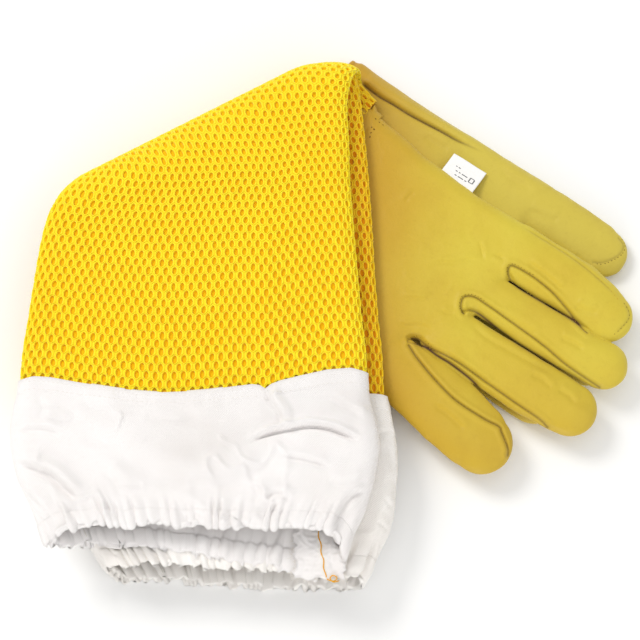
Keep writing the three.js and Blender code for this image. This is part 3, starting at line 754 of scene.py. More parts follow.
def hand_solid(palm, fingers, z0, thick, relief, voxel, palm_r, finger_fill, name):
    """A soft flattened solid from plan shapes; gives vertices, quads, darkness, and which shape each face belongs to."""
    allp = [p for f in fingers.values() for p in f] + [(float(hand(s, q)[0]), float(hand(s, q)[1]), 2.0) for s, q in palm]
    x0 = min(p[0] - p[2] for p in allp) - 4; x1 = max(p[0] + p[2] for p in allp) + 4
    y0 = min(p[1] - p[2] for p in allp) - 4; y1 = max(p[1] + p[2] for p in allp) + 4
    nx, ny, nz = int((x1 - x0) / voxel) + 1, int((y1 - y0) / voxel) + 1, int((thick + 8) / voxel) + 1
    xs, ys = x0 + np.arange(nx) * voxel, y0 + np.arange(ny) * voxel
    zs = z0 - 3 + np.arange(nz) * voxel
    X, Y = np.meshgrid(xs, ys, indexing="ij")
    zc, b = z0 + thick / 2, thick / 2
    S_, Q_ = to_sq(X, Y)
    dp = poly_sdf(S_, Q_, palm)
    sil = 0.35 * noise2(X, Y, 17, 51) + 0.22 * noise2(X, Y, 6, 52)      # the outline wanders a little
    dp = dp + sil
    df = {k: chain_sdf(X, Y, f) + sil for k, f in fingers.items()}
    rel, dark = relief(X, Y)
    edge_in = np.clip((palm_r - dp) / palm_r, 0, None) ** 2
    Z = zs[None, None, :]
    dz = Z - zc
    up = dz > 0
    # relief fades to nothing at the rim
    best_d = dp.copy()
    for k in df:
        best_d = np.maximum(best_d, df[k])
    rel = rel * sm(best_d / 2.2)
    dzz = np.where(up, (dz - rel[..., None] * np.clip(dz / (0.5 * b), 0, 1)) / b, dz / b)
    G = edge_in[..., None] + dzz ** 2 - 1
    own = np.zeros(X.shape, np.int32)
    fb = b * finger_fill
    gf_all = None
    best = np.where(dp > 0, 0.0, -1e9)
    for i, (k, d) in enumerate(df.items()):
        r = max(p[2] for p in fingers[k]) * 0.95
        e = np.clip((r - d) / r, 0, None) ** 2
        dzf = np.where(up, (dz - rel[..., None] * np.clip(dz / (0.5 * b), 0, 1)) / fb, dz / b)
        gf = e[..., None] + dzf ** 2 - 1
        gf_all = gf if gf_all is None else np.minimum(gf_all, gf)
    # soft join between palm and fingers
    kk = 0.22
    hmix = np.clip(0.5 + 0.5 * (gf_all - G) / kk, 0, 1)
    G = gf_all * (1 - hmix) + G * hmix - kk * hmix * (1 - hmix)
    G = np.clip(G * b * 0.5, -2.5, 2.5).astype(np.float32)
    G[0], G[-1], G[:, 0], G[:, -1], G[:, :, 0], G[:, :, -1] = 2.5, 2.5, 2.5, 2.5, 2.5, 2.5
    grid = vdb.FloatGrid(2.5)
    grid.copyFromArray(G)
    pts, quads = grid.convertToQuads(isovalue=0.0)
    V = np.asarray(pts, float) * voxel + np.array([x0, y0, zs[0]])
    Qd = np.asarray(quads, np.int64)
    nrm = np.cross(V[Qd[:, 2]] - V[Qd[:, 0]], V[Qd[:, 3]] - V[Qd[:, 1]])
    vn = np.zeros_like(V)
    for c in range(4):
        np.add.at(vn, Qd[:, c], nrm)
    top = np.argmax(V[Qd[:, 0], 2])
    if nrm[top, 2] < 0:
        Qd = flip(Qd); vn = -vn
    vn /= np.maximum(np.linalg.norm(vn, axis=1, keepdims=True), 1e-12)
    mid = V[Qd].mean(1)
    ms, mq = to_sq(mid[:, 0], mid[:, 1])
    lab = np.full(len(Qd), "hand", dtype=object)
    bd = np.full(len(Qd), -1e9)
    for k, f in fingers.items():
        d = chain_sdf(mid[:, 0], mid[:, 1], f)
        a = np.array(f[0][:2]); c = np.array(f[min(2, len(f) - 1)][:2])
        ax = (c - a) / np.linalg.norm(c - a)
        along = (mid[:, 0] - a[0]) * ax[0] + (mid[:, 1] - a[1]) * ax[1]
        m = (d > bd) & (d > -3) & (along > f[0][2] * 0.45 + (6 if k == "little" and name == "right" else 2))
        lab = np.where(m, k, lab)
        bd = np.where(m, d, bd)
    lab = np.where((lab == "hand") & (mid[:, 2] < zc), "palm", lab)
    # darkness at the vertices, only on the upper side: seam lines and painted shade in grooves and finger gaps
    fi = np.clip((V[:, 0] - x0) / voxel, 0, nx - 1.001); fj = np.clip((V[:, 1] - y0) / voxel, 0, ny - 1.001)
    i0, j0 = fi.astype(int), fj.astype(int)
    dk = relief(V[:, 0], V[:, 1])[1] * (V[:, 2] > zc)
    # height of the upper side, for threads laid on it
    solid = G < 0
    kz = nz - 1 - np.argmax(solid[:, :, ::-1], axis=2)
    a_ = np.take_along_axis(G, kz[..., None], 2)[..., 0]
    b_ = np.take_along_axis(G, np.clip(kz + 1, 0, nz - 1)[..., None], 2)[..., 0]
    ztop = zs[kz] + voxel * np.clip(a_ / np.minimum(a_ - b_, -1e-6), 0, 1)
    ztop = np.where(solid.any(2), ztop, np.nan)

    def height(px, py):
        fi = np.clip((np.asarray(px) - x0) / voxel, 0, nx - 1.001); fj = np.clip((np.asarray(py) - y0) / voxel, 0, ny - 1.001)
        i0, j0 = fi.astype(int), fj.astype(int)
        u, v = fi - i0, fj - j0
        return (ztop[i0, j0] * (1 - u) * (1 - v) + ztop[i0 + 1, j0] * u * (1 - v) + ztop[i0, j0 + 1] * (1 - u) * v + ztop[i0 + 1, j0 + 1] * u * v)
    return V, Qd, vn, dk, lab, height


def pieces_of(prefix, V, Qd, vn, dk, lab, mat):
    out = {}
    for k in sorted(set(lab)):
        q = Qd[lab == k]
        used, inv = np.unique(q, return_inverse=True)
        ob = make(f"{prefix}_{k}_leather", V[used], inv.reshape(q.shape), mat)
        ob.data.normals_split_custom_set_from_vertices(vn[used].astype(np.float32).tolist())
        at = ob.data.attributes.new("shade", "FLOAT", "POINT")
        at.data.foreach_set("value", dk[used].astype(np.float32))
        out[k] = ob
    return out


RV = 0.52
VB = hand_solid(RIGHT_PALM, RIGHT_FINGERS, 10.4, 10.0, right_relief, RV, 8.5, 1.12, "right")
right_parts = pieces_of("right", *VB[:5], M_LEATHER)
right_top = VB[5]
VA = hand_solid(LEFT_PALM, LEFT_FINGERS, 0.15, 9.9, left_relief, RV + 0.1, 8.0, 1.0, "left")
left_parts = pieces_of("left", *VA[:5], M_LEATHER_A)
left_top = VA[5]


# thumbs, tucked flat beneath their palms
def capsule_bag(name, chain, z0, thick, mat, nu=56, nv=28):
    """A small flattened bag along a chain of (x, y, radius) knots."""
    pts = np.array(chain, float)
    d = np.concatenate([[0], np.cumsum(np.hypot(*(pts[1:, :2] - pts[:-1, :2]).T))])
    t = np.linspace(-pts[0, 2] * 0.2, d[-1] + pts[-1, 2], nu)
    px, py, pr = (np.interp(t, d, pts[:, c]) for c in range(3))
    ax = (pts[-1, :2] - pts[0, :2]); ax /= np.linalg.norm(ax)
    pr2 = np.array([-ax[1], ax[0]])
    over = np.clip((t - d[-1]) / pts[-1, 2], 0, 1)
    start = np.clip((-t) / (pts[0, 2] * 0.2), 0, 1)
    wid = pr * np.sqrt(np.clip(1 - over ** 2, 0.0004, 1)) * np.sqrt(np.clip(1 - start ** 2, 0.0004, 1))
    cx, cy = px + ax[0] * np.where(t > d[-1], t - d[-1], np.where(t < 0, t, 0)), py + ax[1] * np.where(t > d[-1], t - d[-1], np.where(t < 0, t, 0))
    ph = np.linspace(0, 2 * math.pi, nv, endpoint=False)
    V = []
    for i in range(nu):
        c, s = np.cos(ph), np.sin(ph)
        off = np.sign(c) * np.abs(c) ** 0.8 * wid[i]
        hh = thick / 2 * (0.25 + 0.75 * wid[i] / pr[i]) * np.sign(s) * np.abs(s) ** 0.8
        V.append(np.stack([cx[i] + pr2[0] * off, cy[i] + pr2[1] * off, z0 + thick / 2 + hh + 0.25 * noise2(cx[i] + off, cy[i] + off, 9, 3) * (s > 0)], -1))
    V = np.concatenate(V)
    iu = np.arange(nu - 1); iv = np.arange(nv)
    a, b = np.meshgrid(iu, iv, indexing="ij"); a, b = a.ravel(), b.ravel()
    Q = np.stack([a * nv + b, (a + 1) * nv + b, (a + 1) * nv + (b + 1) % nv, a * nv + (b + 1) % nv], -1)
    return make(name, V, Q, mat)


thumb_r = capsule_bag("right_thumb_leather", sq_chain([(2, 88, 12.2), (30, 71, 12.4), (43, 63, 11.6)]), 9.9, 5.6, M_LEATHER)
thumb_l = capsule_bag("left_thumb_leather", sq_chain([(4, 26, 12.2), (32, 45, 12.4), (45, 54, 11.6)]), -0.1, 5.6, M_LEATHER_A)


# ------------------------------------------------------------------ thread
def dashes(name, pts, lift, length, pitch, radius, mat, height=None, start=0.0, end=1.0, wobble=0.0, seed=1):
    """Short stitches along a line; each is a flattened bead. pts are (x, y) with a height function, or (x, y, z)."""
    P = np.asarray(pts, float)
    L = np.concatenate([[0], np.cumsum(np.linalg.norm(P[1:] - P[:-1], axis=1))])
    at = np.arange(L[-1] * start + pitch / 2, L[-1] * end, pitch)
    rs = np.random.default_rng(seed)
    at = at + rs.normal(0, 0.06 * pitch, len(at))
    C = np.stack([np.interp(at, L, P[:, c]) for c in range(P.shape[1])], -1)
    C2 = np.stack([np.interp(at + 0.3, L, P[:, c]) for c in range(P.shape[1])], -1)
    T = C2 - C
    if P.shape[1] == 2:
        z = height(C[:, 0], C[:, 1])
        ok = np.isfinite(z)
        C, T, z = C[ok], T[ok], z[ok]
        C = np.column_stack([C, z + lift]); T = np.column_stack([T, np.zeros(len(T))])
    else:
        C = C + np.array([0, 0, lift])
    if not len(C):
        return None
    T /= np.maximum(np.linalg.norm(T, axis=1, keepdims=True), 1e-9)
    if wobble:
        C[:, :2] += rs.normal(0, wobble, (len(C), 2))
    up = np.array([0, 0, 1.0])
    S = np.cross(T, up); S /= np.maximum(np.linalg.norm(S, axis=1, keepdims=True), 1e-9)
    W_ = np.cross(S, T)
    nu, nv = 7, 6
    V, Qs = [], []
    u = np.linspace(-1, 1, nu)
    prof = np.sqrt(np.clip(1 - u ** 4, 0.02, 1))
    ph = np.arange(nv) * 2 * math.pi / nv
    a, b = np.meshgrid(np.arange(nu - 1), np.arange(nv), indexing="ij"); a, b = a.ravel(), b.ravel()
    q0 = np.stack([a * nv + b, (a + 1) * nv + b, (a + 1) * nv + (b + 1) % nv, a * nv + (b + 1) % nv], -1)
    for i in range(len(C)):
        ring = (C[i][None, None] + T[i][None, None] * (u * length / 2)[:, None, None]
                + (S[i][None, None] * np.cos(ph)[None, :, None] + W_[i][None, None] * np.sin(ph)[None, :, None] * 0.7) * (prof * radius)[:, None, None])
        V.append(ring.reshape(-1, 3)); Qs.append(q0 + i * nu * nv)
    return make(name, np.concatenate(V), np.concatenate(Qs), mat)


def offset_line(pts, d):
    p = np.asarray(pts, float)
    t = np.gradient(p, axis=0)
    t /= np.maximum(np.linalg.norm(t, axis=1, keepdims=True), 1e-9)
    return p + np.stack([-t[:, 1], t[:, 0]], -1) * d


threads = {}          # body -> list of objects


def ride_on(body, *obs):
    for o in obs:
        if o is not None:
            threads.setdefault(body, []).append(o)


for nm, line, body in (("ring_seam", D2_LOW, "right_ring"), ("little_seam", D1_FACE, "right_little"), ("middle_seam", D3_LOW, "right_middle"), ("index_seam", D4_LOW, "right_index")):
    pts = smooth_line(line, 90)
    ride_on(body, dashes(f"right_{nm}_stitches", pts, -0.02, 0.95, 1.75, 0.11, M_THREAD_T, right_top, 0.10 if nm != "middle_seam" else 0.12, 0.98, 0.04, 5))
for nm, line, st, body in (("middle_crotch", D3_LOW[:6], 0.0, "right_glove"), ("index_crotch", D4_LOW[:5], 0.0, "right_glove"), ("ring_crotch", D2_LOW[:3], 0.0, "right_glove")):
    pts = offset_line(smooth_line(line, 40), 0.9)
    ride_on(body, dashes(f"right_{nm}_stitches", pts, 0.0, 0.6, 1.8, 0.15, M_THREAD, right_top, 0, 1, 0.1, 6))
ride_on("right_index", dashes("right_index_edge_stitches", smooth_line(D4_UP, 60), 0.0, 0.7, 2.5, 0.17, M_THREAD_T, right_top, 0.36, 1, 0.05, 7))
ride_on("right_index", dashes("right_index_tip_stitches", smooth_line(D4_TIP, 40), 0.0, 0.7, 2.2, 0.17, M_THREAD, right_top, 0, 1, 0.05, 8))
ride_on("left_glove", dashes("left_tip_stitches", smooth_line([(159.5, 47.0), (161.3, 43.2), (160.3, 39.0), (156.0, 35.0), (149.2, 32.2), (145.4, 32.4)], 60), 0.0, 0.7, 2.0, 0.18, M_THREAD, left_top, 0, 1, 0.05, 9))
for k, line in enumerate(([(28.7, 110.2), (31.4, 107.9), (34.6, 105.6)], [(25.0, 107.4), (27.6, 104.5), (30.6, 101.9)], [(29.2, 104.0), (27.0, 100.6), (25.8, 97.4)])):
    ride_on("right_glove", dashes(f"right_wrist_stitches_{k + 1}", smooth_line(line, 20), 0.04, 0.9, 2.4, 0.26, M_THREAD, right_top, 0, 1, 0.15, 20 + k))

# ------------------------------------------------------------------ cotton cuffs
CUFFS = {
    "left": dict(
        L=[(-151.9, -37.3), (-154.0, -52.0), (-155.2, -68.5), (-152.6, -84.8), (-146.1, -98.4), (-139.0, -109.1), (-133.8, -118.6)],
        R=[(23.8, -33.0), (25.7, -47.7), (29.6, -65.7), (28.9, -82.0), (24.8, -99.7), (17.9, -114.5), (11.5, -128.5)],
        seam_top=[(-151.1, -37.8), (-144.0, -36.6), (-135.7, -37.2), (-121.3, -40.0), (-103.4, -42.9), (-91.5, -44.5), (-79.6, -45.4), (-67.8, -44.9), (-55.9, -43.9), (-44.1, -42.3), (-34.2, -41.0), (-30.5, -41.4), (-27.5, -43.3), (-24.4, -40.8), (-20, -39.0), (-10.9, -36.6), (3.4, -33.2), (15.3, -32.1), (23.6, -33.5)],
        seam_bot=[(-151.1, -38), (-88, -44), (-20, -40), (23.6, -34)],
        hem_top=[(-134.0, -118.4), (-129.3, -116.6), (-124.7, -114.4), (-107.3, -111.6), (-95.6, -112.4), (-82.9, -110.8), (-66.5, -112.3), (-43.2, -113.1), (-22.3, -113.8), (-10.6, -112.8), (1.0, -114.2), (15.0, -119.5)],
        hem_bot=[(-133.5, -120.6), (-118.8, -120.6), (-102.4, -119.6), (-83.6, -120.9), (-69.4, -124.0), (-55.3, -126.9), (-37.7, -130.0), (-22.4, -132.4), (-6.0, -136.0), (8.0, -138.6)],
        waves=23, seed=61),
    "right": dict(
        L=[(-143.0, -47.0), (-145.5, -62.0), (-144.5, -80.0), (-138.0, -96.0), (-127.0, -108.0), (-117.0, -118.0), (-107.5, -128.0)],
        R=[(33.8, -43.5), (35.8, -50.5), (38.6, -64.0), (39.6, -78.4), (37.4, -100.5), (31.8, -116.8), (22.5, -132.5)],
        seam_top=[(-143, -46), (-100, -50), (-60, -50), (-10, -46.5), (20, -42.8), (33.6, -42.8)],
        seam_bot=[(-143, -47), (-60, -51), (33.6, -44)],
        hem_top=[(-107.5, -126.0), (-102.5, -130.2), (-96.6, -130.8), (-90.7, -129.4), (-75.5, -128.9), (-63.7, -130.6), (-49.5, -131.6), (-26.0, -132.4), (-10.7, -133.6), (18, -134.6)],
        hem_bot=[(-106.0, -131.0), (-98.5, -134.0), (-76.9, -133.4), (-60, -135.6), (-30.1, -137.2), (-10.9, -138.0), (17.8, -138.0)],
        waves=22, seed=71),
}
A_CREASES = [
    # a tuck below the seam: (line, depth, width, raised lip, lip offset)
    ([(-36, -72.5), (-30.7, -69.3), (-24.9, -66.9), (-16.6, -65.1), (-6.1, -63.3), (2.2, -63.9), (9.5, -66.2), (16.3, -69.3), (21, -71.5)], 2.6, 1.0, 2.5, 3.0),
    ([(-153, -82.2), (-149.2, -82.8), (-135.0, -87.5), (-125.3, -95.9), (-118.2, -101.5)], 2.2, 2.0, 2.0, 4.6),
    ([(-151, -64.4), (-147.5, -64.2), (-136.9, -64.8), (-128.6, -67.2)], 1.1, 1.5, 0.8, 3.2),
    ([(-20, -78.6), (-16.6, -78.9), (-8.4, -80.1), (2.2, -83.1), (5, -84.5)], 1.2, 1.3, 0.8, 3.0),
    ([(4, -114), (6.8, -111.2), (15.0, -99.4), (24.5, -95.5)], 1.6, 2.0, 1.3, 4.2),
    ([(-108, -73), (-104.7, -74.7), (-95, -81), (-83.3, -86.5), (-72, -90.4), (-61.0, -92.4), (-48, -93), (-37.6, -91.4), (-27, -83.5), (-21.3, -74.7)], 1.5, 4.2, 1.2, 9.0),
    ([(-27.8, -44.0), (-25.5, -49.0), (-21.6, -54.5), (-20.0, -59.5), (-22.0, -65.0)], 1.5, 1.5, 2.1, 3.8),
    ([(-16.0, -64.5), (-16.5, -57), (-19.5, -50), (-24.5, -44.5)], 0.7, 1.5, 0.9, 3.4),
    ([(-34, -90), (-31, -97), (-33, -103)], 0.9, 1.6, 0.7, 3.2),
    ([(-120, -49), (-112, -54), (-100, -56)], 0.8, 3.2, 0.6, 6.0),
    ([(-108, -84), (-101, -92), (-97, -99)], 0.7, 2.6, 0.6, 5.0),
    ([(-28, -100), (-21, -97), (-14, -101)], 0.9, 1.6, 0.7, 3.2),
    ([(5, -50), (14, -54), (22, -59)], 0.8, 1.8, 0.7, 3.5),
    ([(-148, -96), (-142, -101), (-136, -108)], 1.1, 1.8, 0.9, 3.5),
    ([(3, -91), (13, -93), (24, -89)], 0.9, 2.2, 0.7, 4.0),
    ([(-70, -58), (-58, -61), (-46, -59)], 0.6, 3.4, 0.5, 6.5),
    ([(-142, -47), (-139, -54), (-141, -60)], 0.6, 1.8, 0.5, 3.6),
]
B_CREASES = [
    ([(31, -96), (35, -100), (38, -101)], 1.2, 1.4, 1.2, 3.0),
    ([(27, -108), (31, -110), (35, -113)], 1.1, 1.2, 0.9, 2.6),
    ([(34, -68), (36, -75), (37, -84)], 0.8, 1.6, 0.6, 3.0),
]


def side_curve(pts, t):
    p = smooth_line(pts, 120)
    L = np.concatenate([[0], np.cumsum(np.hypot(*(p[1:] - p[:-1]).T))]); L /= L[-1]
    return np.stack([np.interp(t, L, p[:, 0]), np.interp(t, L, p[:, 1])], -1)


def cuff_skin(side, a, t):
    """The plain flattened tube of a cuff, without relief. a (n,), t (m,) give an (n, m, 3) grid."""
    C = CUFFS[side]
    Lc, Rc = side_curve(C["L"], t), side_curve(C["R"], t)
    half = np.hypot(*(Rc - Lc).T) / 2
    A_, T_ = np.meshgrid(a, t, indexing="ij")
    sx, sz, nx, nz = section(A_, half[None, :])
    m, ze = sx / half[None, :], sz / 4.75
    k = 0.5 + 0.5 * m
    x = Lc[None, :, 0] * (1 - k) + Rc[None, :, 0] * k
    yl = Lc[None, :, 1] * (1 - k) + Rc[None, :, 1] * k
    top = 0.5 + 0.5 * np.clip(ze, -1, 1)
    Lend, Rend = np.array(C["L"][-1]), np.array(C["R"][-1])
    kk = np.clip((x - Lend[0]) / (Rend[0] - Lend[0]), 0, 1)
    base_end = Lend[1] * (1 - k) + Rend[1] * k
    base_start = C["L"][0][1] * (1 - k) + C["R"][0][1] * k
    def line(name):
        p = np.asarray(C[name], float); return np.interp(x, p[:, 0], p[:, 1])
    xe = Lend[0] * (1 - k) + Rend[0] * k                 # the hem is read where the column ends
    def hem(name):
        p = np.asarray(C[name], float); return np.interp(xe, p[:, 0], p[:, 1])
    o1 = (hem("hem_top") * top + hem("hem_bot") * (1 - top)) - base_end
    o0 = (line("seam_top") * top + line("seam_bot") * (1 - top)) - base_start
    Tc = np.clip(T_, 0, 1.2)
    y = yl + o0 * (1 - Tc) ** 2 * (1 + 0 * Tc) + o1 * Tc ** 1.7
    # the ends keep the side curves' own direction past t = 1
    if side == "left":
        zt = 40.4 + 4.3 * sm((-15 - y) / 50)
        zb = np.full_like(y, 30.9)
    else:
        zt = np.full_like(y, 30.4)
        zb = 0.4 + 20.6 * sm(((x * N[0] + y * N[1]) + 110) / 72)
        zb = zb + (zt - 10 - zb) * 0.0
    z = zb + (zt - zb) * top
    # soft fullness in the middle, flatter at the ends
    full = np.sin(np.clip(Tc, 0, 1) * math.pi) ** 0.8
    z = z + np.where(ze > 0, (1.6 * full + 0.66 * (1 - sm(Tc / 0.3))) * (1 - m ** 2) * (1 if side == "left" else 0.15), 0)
    return np.stack([x, y, z], -1), m, ze, T_


def grid_normals(P):
    """Outward normals of an (n, m, 3) grid that closes on itself along the first index."""
    da = np.roll(P, -1, 0) - np.roll(P, 1, 0)
    dt = np.gradient(P, axis=1)
    n = np.cross(dt, da)
    n /= np.maximum(np.linalg.norm(n, axis=-1, keepdims=True), 1e-9)
    c = P.mean((0, 1))
    if ((P - c) * n).sum() < 0:
        n = -n
    return n


HEM_T = 0.885


def ruffle(side, A_, T_):
    """Gathers: pleats that grow towards the elastic, uneven in width and height."""
    C = CUFFS[side]
    wv = C["waves"] * 2
    ph = wv * A_ + 0.85 * noise2(A_ * 60, A_ * 0, 1.7, C["seed"]) + 0.3 * noise2(A_ * 190, A_ * 0, 2.1, C["seed"] + 1)
    amp = np.clip(0.75 + 0.75 * noise2(A_ * 80, A_ * 0 + 5, 1.3, C["seed"] + 2), 0.12, 1.7)
    g = sm((T_ - 0.76) / 0.14)
    fine = noise2(A_ * 260, T_ * 3, 1.5, C["seed"] + 3)
    return ph, amp, g, fine


def cuff_relief(side, P, m, ze, A_, T_):
    x, y = P[..., 0], P[..., 1]
    up = ze > 0
    h = 1.5 * fbm(x, y, 30, CUFFS[side]["seed"] + 5) * np.sin(np.clip(T_, 0, 1) * math.pi) ** 0.6
    h += 0.36 * fbm(x, y * 1.4, 9, CUFFS[side]["seed"] + 6) * sm((T_ - 0.06) / 0.1)
    cr = np.zeros_like(h)
    for line, dep, wid, lip, off in (A_CREASES if side == "left" else B_CREASES):
        k_ = 1.5 if side == "left" else 0.7
        cr += crease(x, y, line, wid * 0.9, dep * k_, lip * k_, off, 0.22)
    # sharp little rucks of a stiff washed cotton, in patches
    sd_ = CUFFS[side]["seed"]
    patch = sm((fbm(x, y, 26, sd_ + 8) + 0.05) / 0.35)
    cr += 1.35 * patch * np.exp(-(fbm(x * 0.9 + y * 0.45, y * 0.8 - x * 0.25, 21, sd_ + 9) / 0.085) ** 2) * sm((T_ - 0.10) / 0.1)
    cr -= 1.0 * (1 - patch) * np.exp(-(fbm(x * 0.5 - y * 0.3, y * 1.2 + x * 0.2, 24, sd_ + 10) / 0.10) ** 2) * sm((T_ - 0.10) / 0.1)
    h += np.where(up, cr, 0.0) * sm((np.abs(ze) - 0.3) / 0.5)
    # pulls that run out of the seam
    pull = noise2(A_ * 150, T_ * 2.5, 1.4, CUFFS[side]["seed"] + 7)
    h += 0.30 * pull * np.exp(-(T_ / 0.16) ** 2) * sm(T_ / 0.03)
    ph, amp, g, fine = ruffle(side, A_, T_)
    long_ = sm((T_ - 0.42) / 0.45) ** 2
    h += (1.5 * amp * np.sin(2 * math.pi * ph)) * g + 0.20 * amp * np.sin(2 * math.pi * ph) * long_ + 0.22 * fine * g
    return h, ph, amp, g


def cuff_grid(side, a, t, h, edge_scallop=True):
    P, m, ze, T_ = cuff_skin(side, a, t)
    A_ = np.meshgrid(a, t, indexing="ij")[0]
    n = grid_normals(P)
    rel, ph, amp, g = cuff_relief(side, P, m, ze, A_, T_)
    # nothing sinks into what lies beneath
    rel = np.where(ze < -0.2, np.minimum(rel, 0.5), rel)
    Q = P + n * (rel + h)[..., None]
    if edge_scallop:
        Q[..., 1] += (-1.35 * amp * np.sin(2 * math.pi * ph + 0.5)) * sm((T_ - 0.82) / 0.16)
    if side == "left":
        Q[..., 2] = np.where(ze < 0, np.maximum(Q[..., 2], 30.75 + 0.9 * (1 + np.clip(h, -1, 0))), Q[..., 2])
    else:
        Q[..., 2] = np.maximum(Q[..., 2], 0.15)
        Q[..., 2] = np.minimum(Q[..., 2], 30.6 + 4.0 * sm((-112 - Q[..., 1]) / 8))
    return Q, n, m, ze, T_


def shell(name, side, a_n, ts, hs, mat, closed_profile=False):
    """A ring swept round the cuff: the profile is a list of (t, h) pairs; it can close on itself."""
    a = np.arange(a_n) / a_n
    ts, hs = np.asarray(ts, float), np.asarray(hs, float)
    # the relief needs a monotonic t grid for its normals: work on the unique sorted stations
    tu = np.unique(np.concatenate([ts, np.linspace(max(ts.min() - 0.02, 0), ts.max() + 0.02, 9)]))
    P, m, ze, T_ = cuff_skin(side, a, tu)
    n = grid_normals(P)
    A_ = np.meshgrid(a, tu, indexing="ij")[0]
    rel, ph, amp, g = cuff_relief(side, P, m, ze, A_, T_)
    rel = np.where(ze < -0.2, np.minimum(rel, 0.5), rel)
    S = P + n * rel[..., None]
    S[..., 1] += (-1.7 * amp * np.sin(2 * math.pi * ph + 0.5)) * sm((T_ - 0.82) / 0.16)
    n2 = grid_normals(S)
    idx = np.searchsorted(tu, ts)
    V = S[:, idx] + n2[:, idx] * hs[None, :, None]
    zz = ze[:, idx]
    if side == "left":
        V[..., 2] = np.where(zz < 0, np.maximum(V[..., 2], 30.8 + np.clip(-hs[None, :], 0, 2)), V[..., 2])
    else:
        V[..., 2] = np.maximum(V[..., 2], 0.12 + np.clip(-hs[None, :], 0, 2))
        V[..., 2] = np.minimum(V[..., 2], 30.35 + np.where(hs > 0, 0.25 * hs, hs)[None, :] + 4.0 * sm((-112 - V[..., 1]) / 8))
    k = len(ts)
    f = []
    ia = np.arange(a_n)
    last = k if closed_profile else k - 1
    A0, B0 = np.meshgrid(ia, np.arange(last), indexing="ij"); A0, B0 = A0.ravel(), B0.ravel()
    A1, B1 = (A0 + 1) % a_n, (B0 + 1) % k
    q = np.stack([A0 * k + B0, A1 * k + B0, A1 * k + B1, A0 * k + B1], -1)
    Vf = V.reshape(-1, 3)
    nrm = np.cross(Vf[q[:, 2]] - Vf[q[:, 0]], Vf[q[:, 3]] - Vf[q[:, 1]])
    out_n = n2[A0, np.clip(idx[B0], 0, len(tu) - 1)]
    on_outer = hs[B0] > hs.mean()
    if (nrm * out_n).sum(-1)[on_outer].mean() < 0:
        q = flip(q)
    return make(name, Vf, q, mat), V, n2[:, idx]


def cloth_profile(t0, t1, n, thick, round0=True, round1=True):
    """Outer skin out, inner skin back."""
    t = np.linspace(t0, t1, n)
    ts = list(t) + list(t[::-1])
    hs = [0.0] * n + [-thick] * n
    return ts, hs


cuff_parts = {}
cuff_rows = {}
QN = 1.0
for side, mat, body in (("left", M_COTTON, "left_sleeve"), ("right", M_COTTON_B, "right_sleeve")):
    an = int(500 * QN)
    ts, hs = cloth_profile(0.085, HEM_T + 0.004, int(88 * QN), 0.85)
    cuff, Vc, Nc = shell(f"{side}_cuff_cloth", side, an, ts, hs, mat, True)
    # seam band: a folded lap that sits on the end of the mesh
    tb = [-0.012, -0.008, 0.004, 0.03, 0.055, 0.078, 0.090, 0.094, 0.092, 0.055, 0.036, 0.0, -0.012]
    hb = [0.42, 0.70, 0.80, 0.58, 0.50, 0.30, 0.12, -0.2, -0.5, -0.5, 0.16, 0.26, 0.28]
    band, Vb, Nb = shell(f"{side}_cuff_seam_band_cloth", side, int(620 * QN), tb, hb, mat, True)
    # hem casing: a fat folded tube, pinched where it is stitched
    kk = np.linspace(0, 1, 13)
    bul = 0.04 + 1.25 * np.sin(np.clip(kk, 0, 1) * math.pi * 0.62 + 0.02) ** 1.2
    t_out = HEM_T + (1.0 - HEM_T) * kk
    edge_t = [1.008, 1.012, 1.008]
    edge_h = [0.55, -0.15, -0.95]
    th = list(t_out) + edge_t + list(t_out[::-1])
    hh = list(bul) + edge_h + list(-1.1 - 0.9 * np.sin(kk[::-1] * math.pi * 0.7))
    hem, Vh, Nh = shell(f"{side}_hem_casing_cloth", side, int(760 * QN), th, hh, mat, True)
    te = [HEM_T + 0.022, HEM_T + 0.095, HEM_T + 0.095, HEM_T + 0.022]
    he = [-0.15, -0.15, -0.95, -0.95]
    el, _, _ = shell(f"{side}_hem_elastic_band", side, 220, te, he, M_ELASTIC, True)
    cuff_parts[side] = (cuff, band, hem, el)
    cuff_rows[side] = (Vc, Vb, Vh)

# stitch rows along the seam bands, on the visible skins
for side, body in (("left", "left_sleeve"), ("right", "right_sleeve")):
    Vc, Vb, Vh = cuff_rows[side]
    nb = Vb.shape[0]
    for j, nm in ((3, "a"), (5, "b")):
        for a0, a1, tag in ((0.015, 0.485, "top"),):
            pts = Vb[int(a0 * nb):int(a1 * nb), j]
            ride_on(body, dashes(f"{side}_band_stitches_{nm}", pts, 0.0, 1.4, 2.4, 0.13, M_THREAD_W, None, 0, 1, 0.05, 40 + j))


